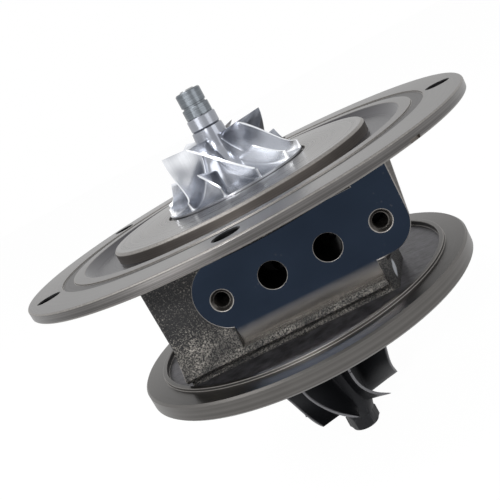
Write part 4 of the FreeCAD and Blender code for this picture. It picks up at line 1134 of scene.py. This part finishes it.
class CARTRIDGE_OT_stage(bpy.types.Operator):
    """Makes the pale floor, the soft studio light and the camera"""
    bl_idname = "cartridge.stage"
    bl_label = "Stage"

    def execute(self, context):
        sizes = context.scene.cartridge.stage
        self.floor(sizes)
        self.world(context, sizes)
        self.lamps()
        self.camera(context, sizes)
        context.scene.view_settings.view_transform = "Standard"
        return {"FINISHED"}

    def seen_directly(self, tree):
        """One for rays from the camera, from gloss and through glass, and nothing for the rest."""
        path = add_node(tree, "ShaderNodeLightPath")
        seen = path.outputs["Is Camera Ray"]
        for ray in ("Is Glossy Ray", "Is Transmission Ray"):
            seen = add_node(tree, "ShaderNodeMath", {0: seen, 1: path.outputs[ray]},
                            operation="MAXIMUM").outputs[0]
        return seen

    def floor(self, sizes):
        """A wide pale floor under the turbine nose that keeps the shadow on it."""
        height = cad_box[0].z - sizes.floor_gap
        reach = sizes.floor_reach
        corners = [(-reach, -reach), (reach, -reach), (reach, reach), (-reach, reach)]
        mesh = mesh_of("floor", [(*corner, height) for corner in corners], [(0, 1, 2, 3)])
        material = bpy.data.materials.new("pale_floor")
        material.use_nodes = True
        tree = material.node_tree
        tree.nodes.clear()
        part = add_node(tree, "ShaderNodeMath", {0: self.seen_directly(tree), 1: sizes.cover},
                        operation="MULTIPLY")
        matte = add_node(tree, "ShaderNodeBsdfDiffuse", {"Color": (0.85, 0.85, 0.85, 1)})
        white = add_node(tree, "ShaderNodeEmission", {"Strength": sizes.glow})
        mix = add_node(tree, "ShaderNodeMixShader", {
            0: part.outputs[0], 1: matte.outputs[0], 2: white.outputs[0]})
        add_node(tree, "ShaderNodeOutputMaterial", {"Surface": mix.outputs[0]})
        mesh.materials.append(material)
        floor = linked("floor", mesh)

    def world(self, context, sizes):
        """White where it is seen, and a soft grey light elsewhere."""
        world = bpy.data.worlds.new("studio")
        world.use_nodes = True
        context.scene.world = world
        tree = world.node_tree
        background = tree.nodes["Background"]
        background.inputs["Color"].default_value = (1, 1, 1, 1)
        strength = add_node(tree, "ShaderNodeMapRange", {
            "To Min": sizes.ambient, "To Max": 1.0, "Value": self.seen_directly(tree)})
        tree.links.new(strength.outputs["Result"], background.inputs["Strength"])

    def lamps(self):
        """Soft boxes over the plate, at the front right and low at the left, and a narrow one.

        Each has a name, a place, a width and a power in watts, and faces the origin.
        """
        boxes = [("over", (-0.25, -0.15, 0.55), 0.45, 1.7),
                 ("right", (0.5, -0.35, 0.15), 0.35, 0.6),
                 ("low", (-0.3, -0.45, -0.12), 0.3, 1.0),
                 ("front", (-0.08, -0.62, 0.22), 0.08, 2.0)]
        for name, place, wide, power in boxes:
            light = bpy.data.lights.new(name + "_softbox", "AREA")
            light.size = wide
            light.energy = power
            lamp = linked(name + "_softbox", light)
            lamp.location = place
            lamp.rotation_euler = (-Vector(place)).to_track_quat("-Z", "Y").to_euler()

    def camera(self, context, sizes):
        """The camera at the picture's viewing angle, rolled as the picture is."""
        lens = bpy.data.cameras.new("camera")
        lens.lens = sizes.lens
        lens.sensor_width = 36.0
        lens.clip_start = 0.01
        camera = linked("camera", lens)
        ahead = Vector((math.sin(sizes.yaw) * math.cos(sizes.pitch),
                        math.cos(sizes.yaw) * math.cos(sizes.pitch), -math.sin(sizes.pitch)))
        right = ahead.cross(Vector((0, 0, 1))).normalized()
        up = right.cross(ahead)
        cos, sin = math.cos(sizes.roll), math.sin(sizes.roll)
        side, top = right * cos + up * sin, up * cos - right * sin
        turn = Matrix((side, top, -ahead)).transposed()
        camera.matrix_world = Matrix.Translation(Vector(sizes.place)) @ turn.to_4x4()
        context.scene.camera = camera


OPERATORS = [CARTRIDGE_OT_back_plate, CARTRIDGE_OT_housing, CARTRIDGE_OT_compressor_wheel,
             CARTRIDGE_OT_turbine_wheel, CARTRIDGE_OT_inner_parts, CARTRIDGE_OT_stage]


class CARTRIDGE_PT_panel(bpy.types.Panel):
    """Lists the pieces of the cartridge"""
    bl_label = "Cartridge"
    bl_idname = "CARTRIDGE_PT_panel"
    bl_space_type = "VIEW_3D"
    bl_region_type = "UI"
    bl_category = "Cartridge"

    def draw(self, context):
        for operator in OPERATORS:
            self.layout.operator(operator.bl_idname)


CLASSES = [PlateSizes, WheelSizes, TurbineSizes, DetailSizes, FinishColours, StageSizes,
           CartridgeSettings, *OPERATORS, CARTRIDGE_PT_panel]


def register():
    for item in CLASSES:
        bpy.utils.register_class(item)
    bpy.types.Scene.cartridge = PointerProperty(type=CartridgeSettings)


def unregister():
    del bpy.types.Scene.cartridge
    for item in reversed(CLASSES):
        bpy.utils.unregister_class(item)


def main():
    register()
    finishes.update(make_finishes(bpy.context.scene.cartridge.finish))
    bpy.ops.cartridge.back_plate()
    bpy.ops.cartridge.housing()
    bpy.ops.cartridge.compressor_wheel()
    bpy.ops.cartridge.turbine_wheel()
    bpy.ops.cartridge.inner_parts()
    bpy.ops.cartridge.stage()


if __name__ == "__main__":
    main()
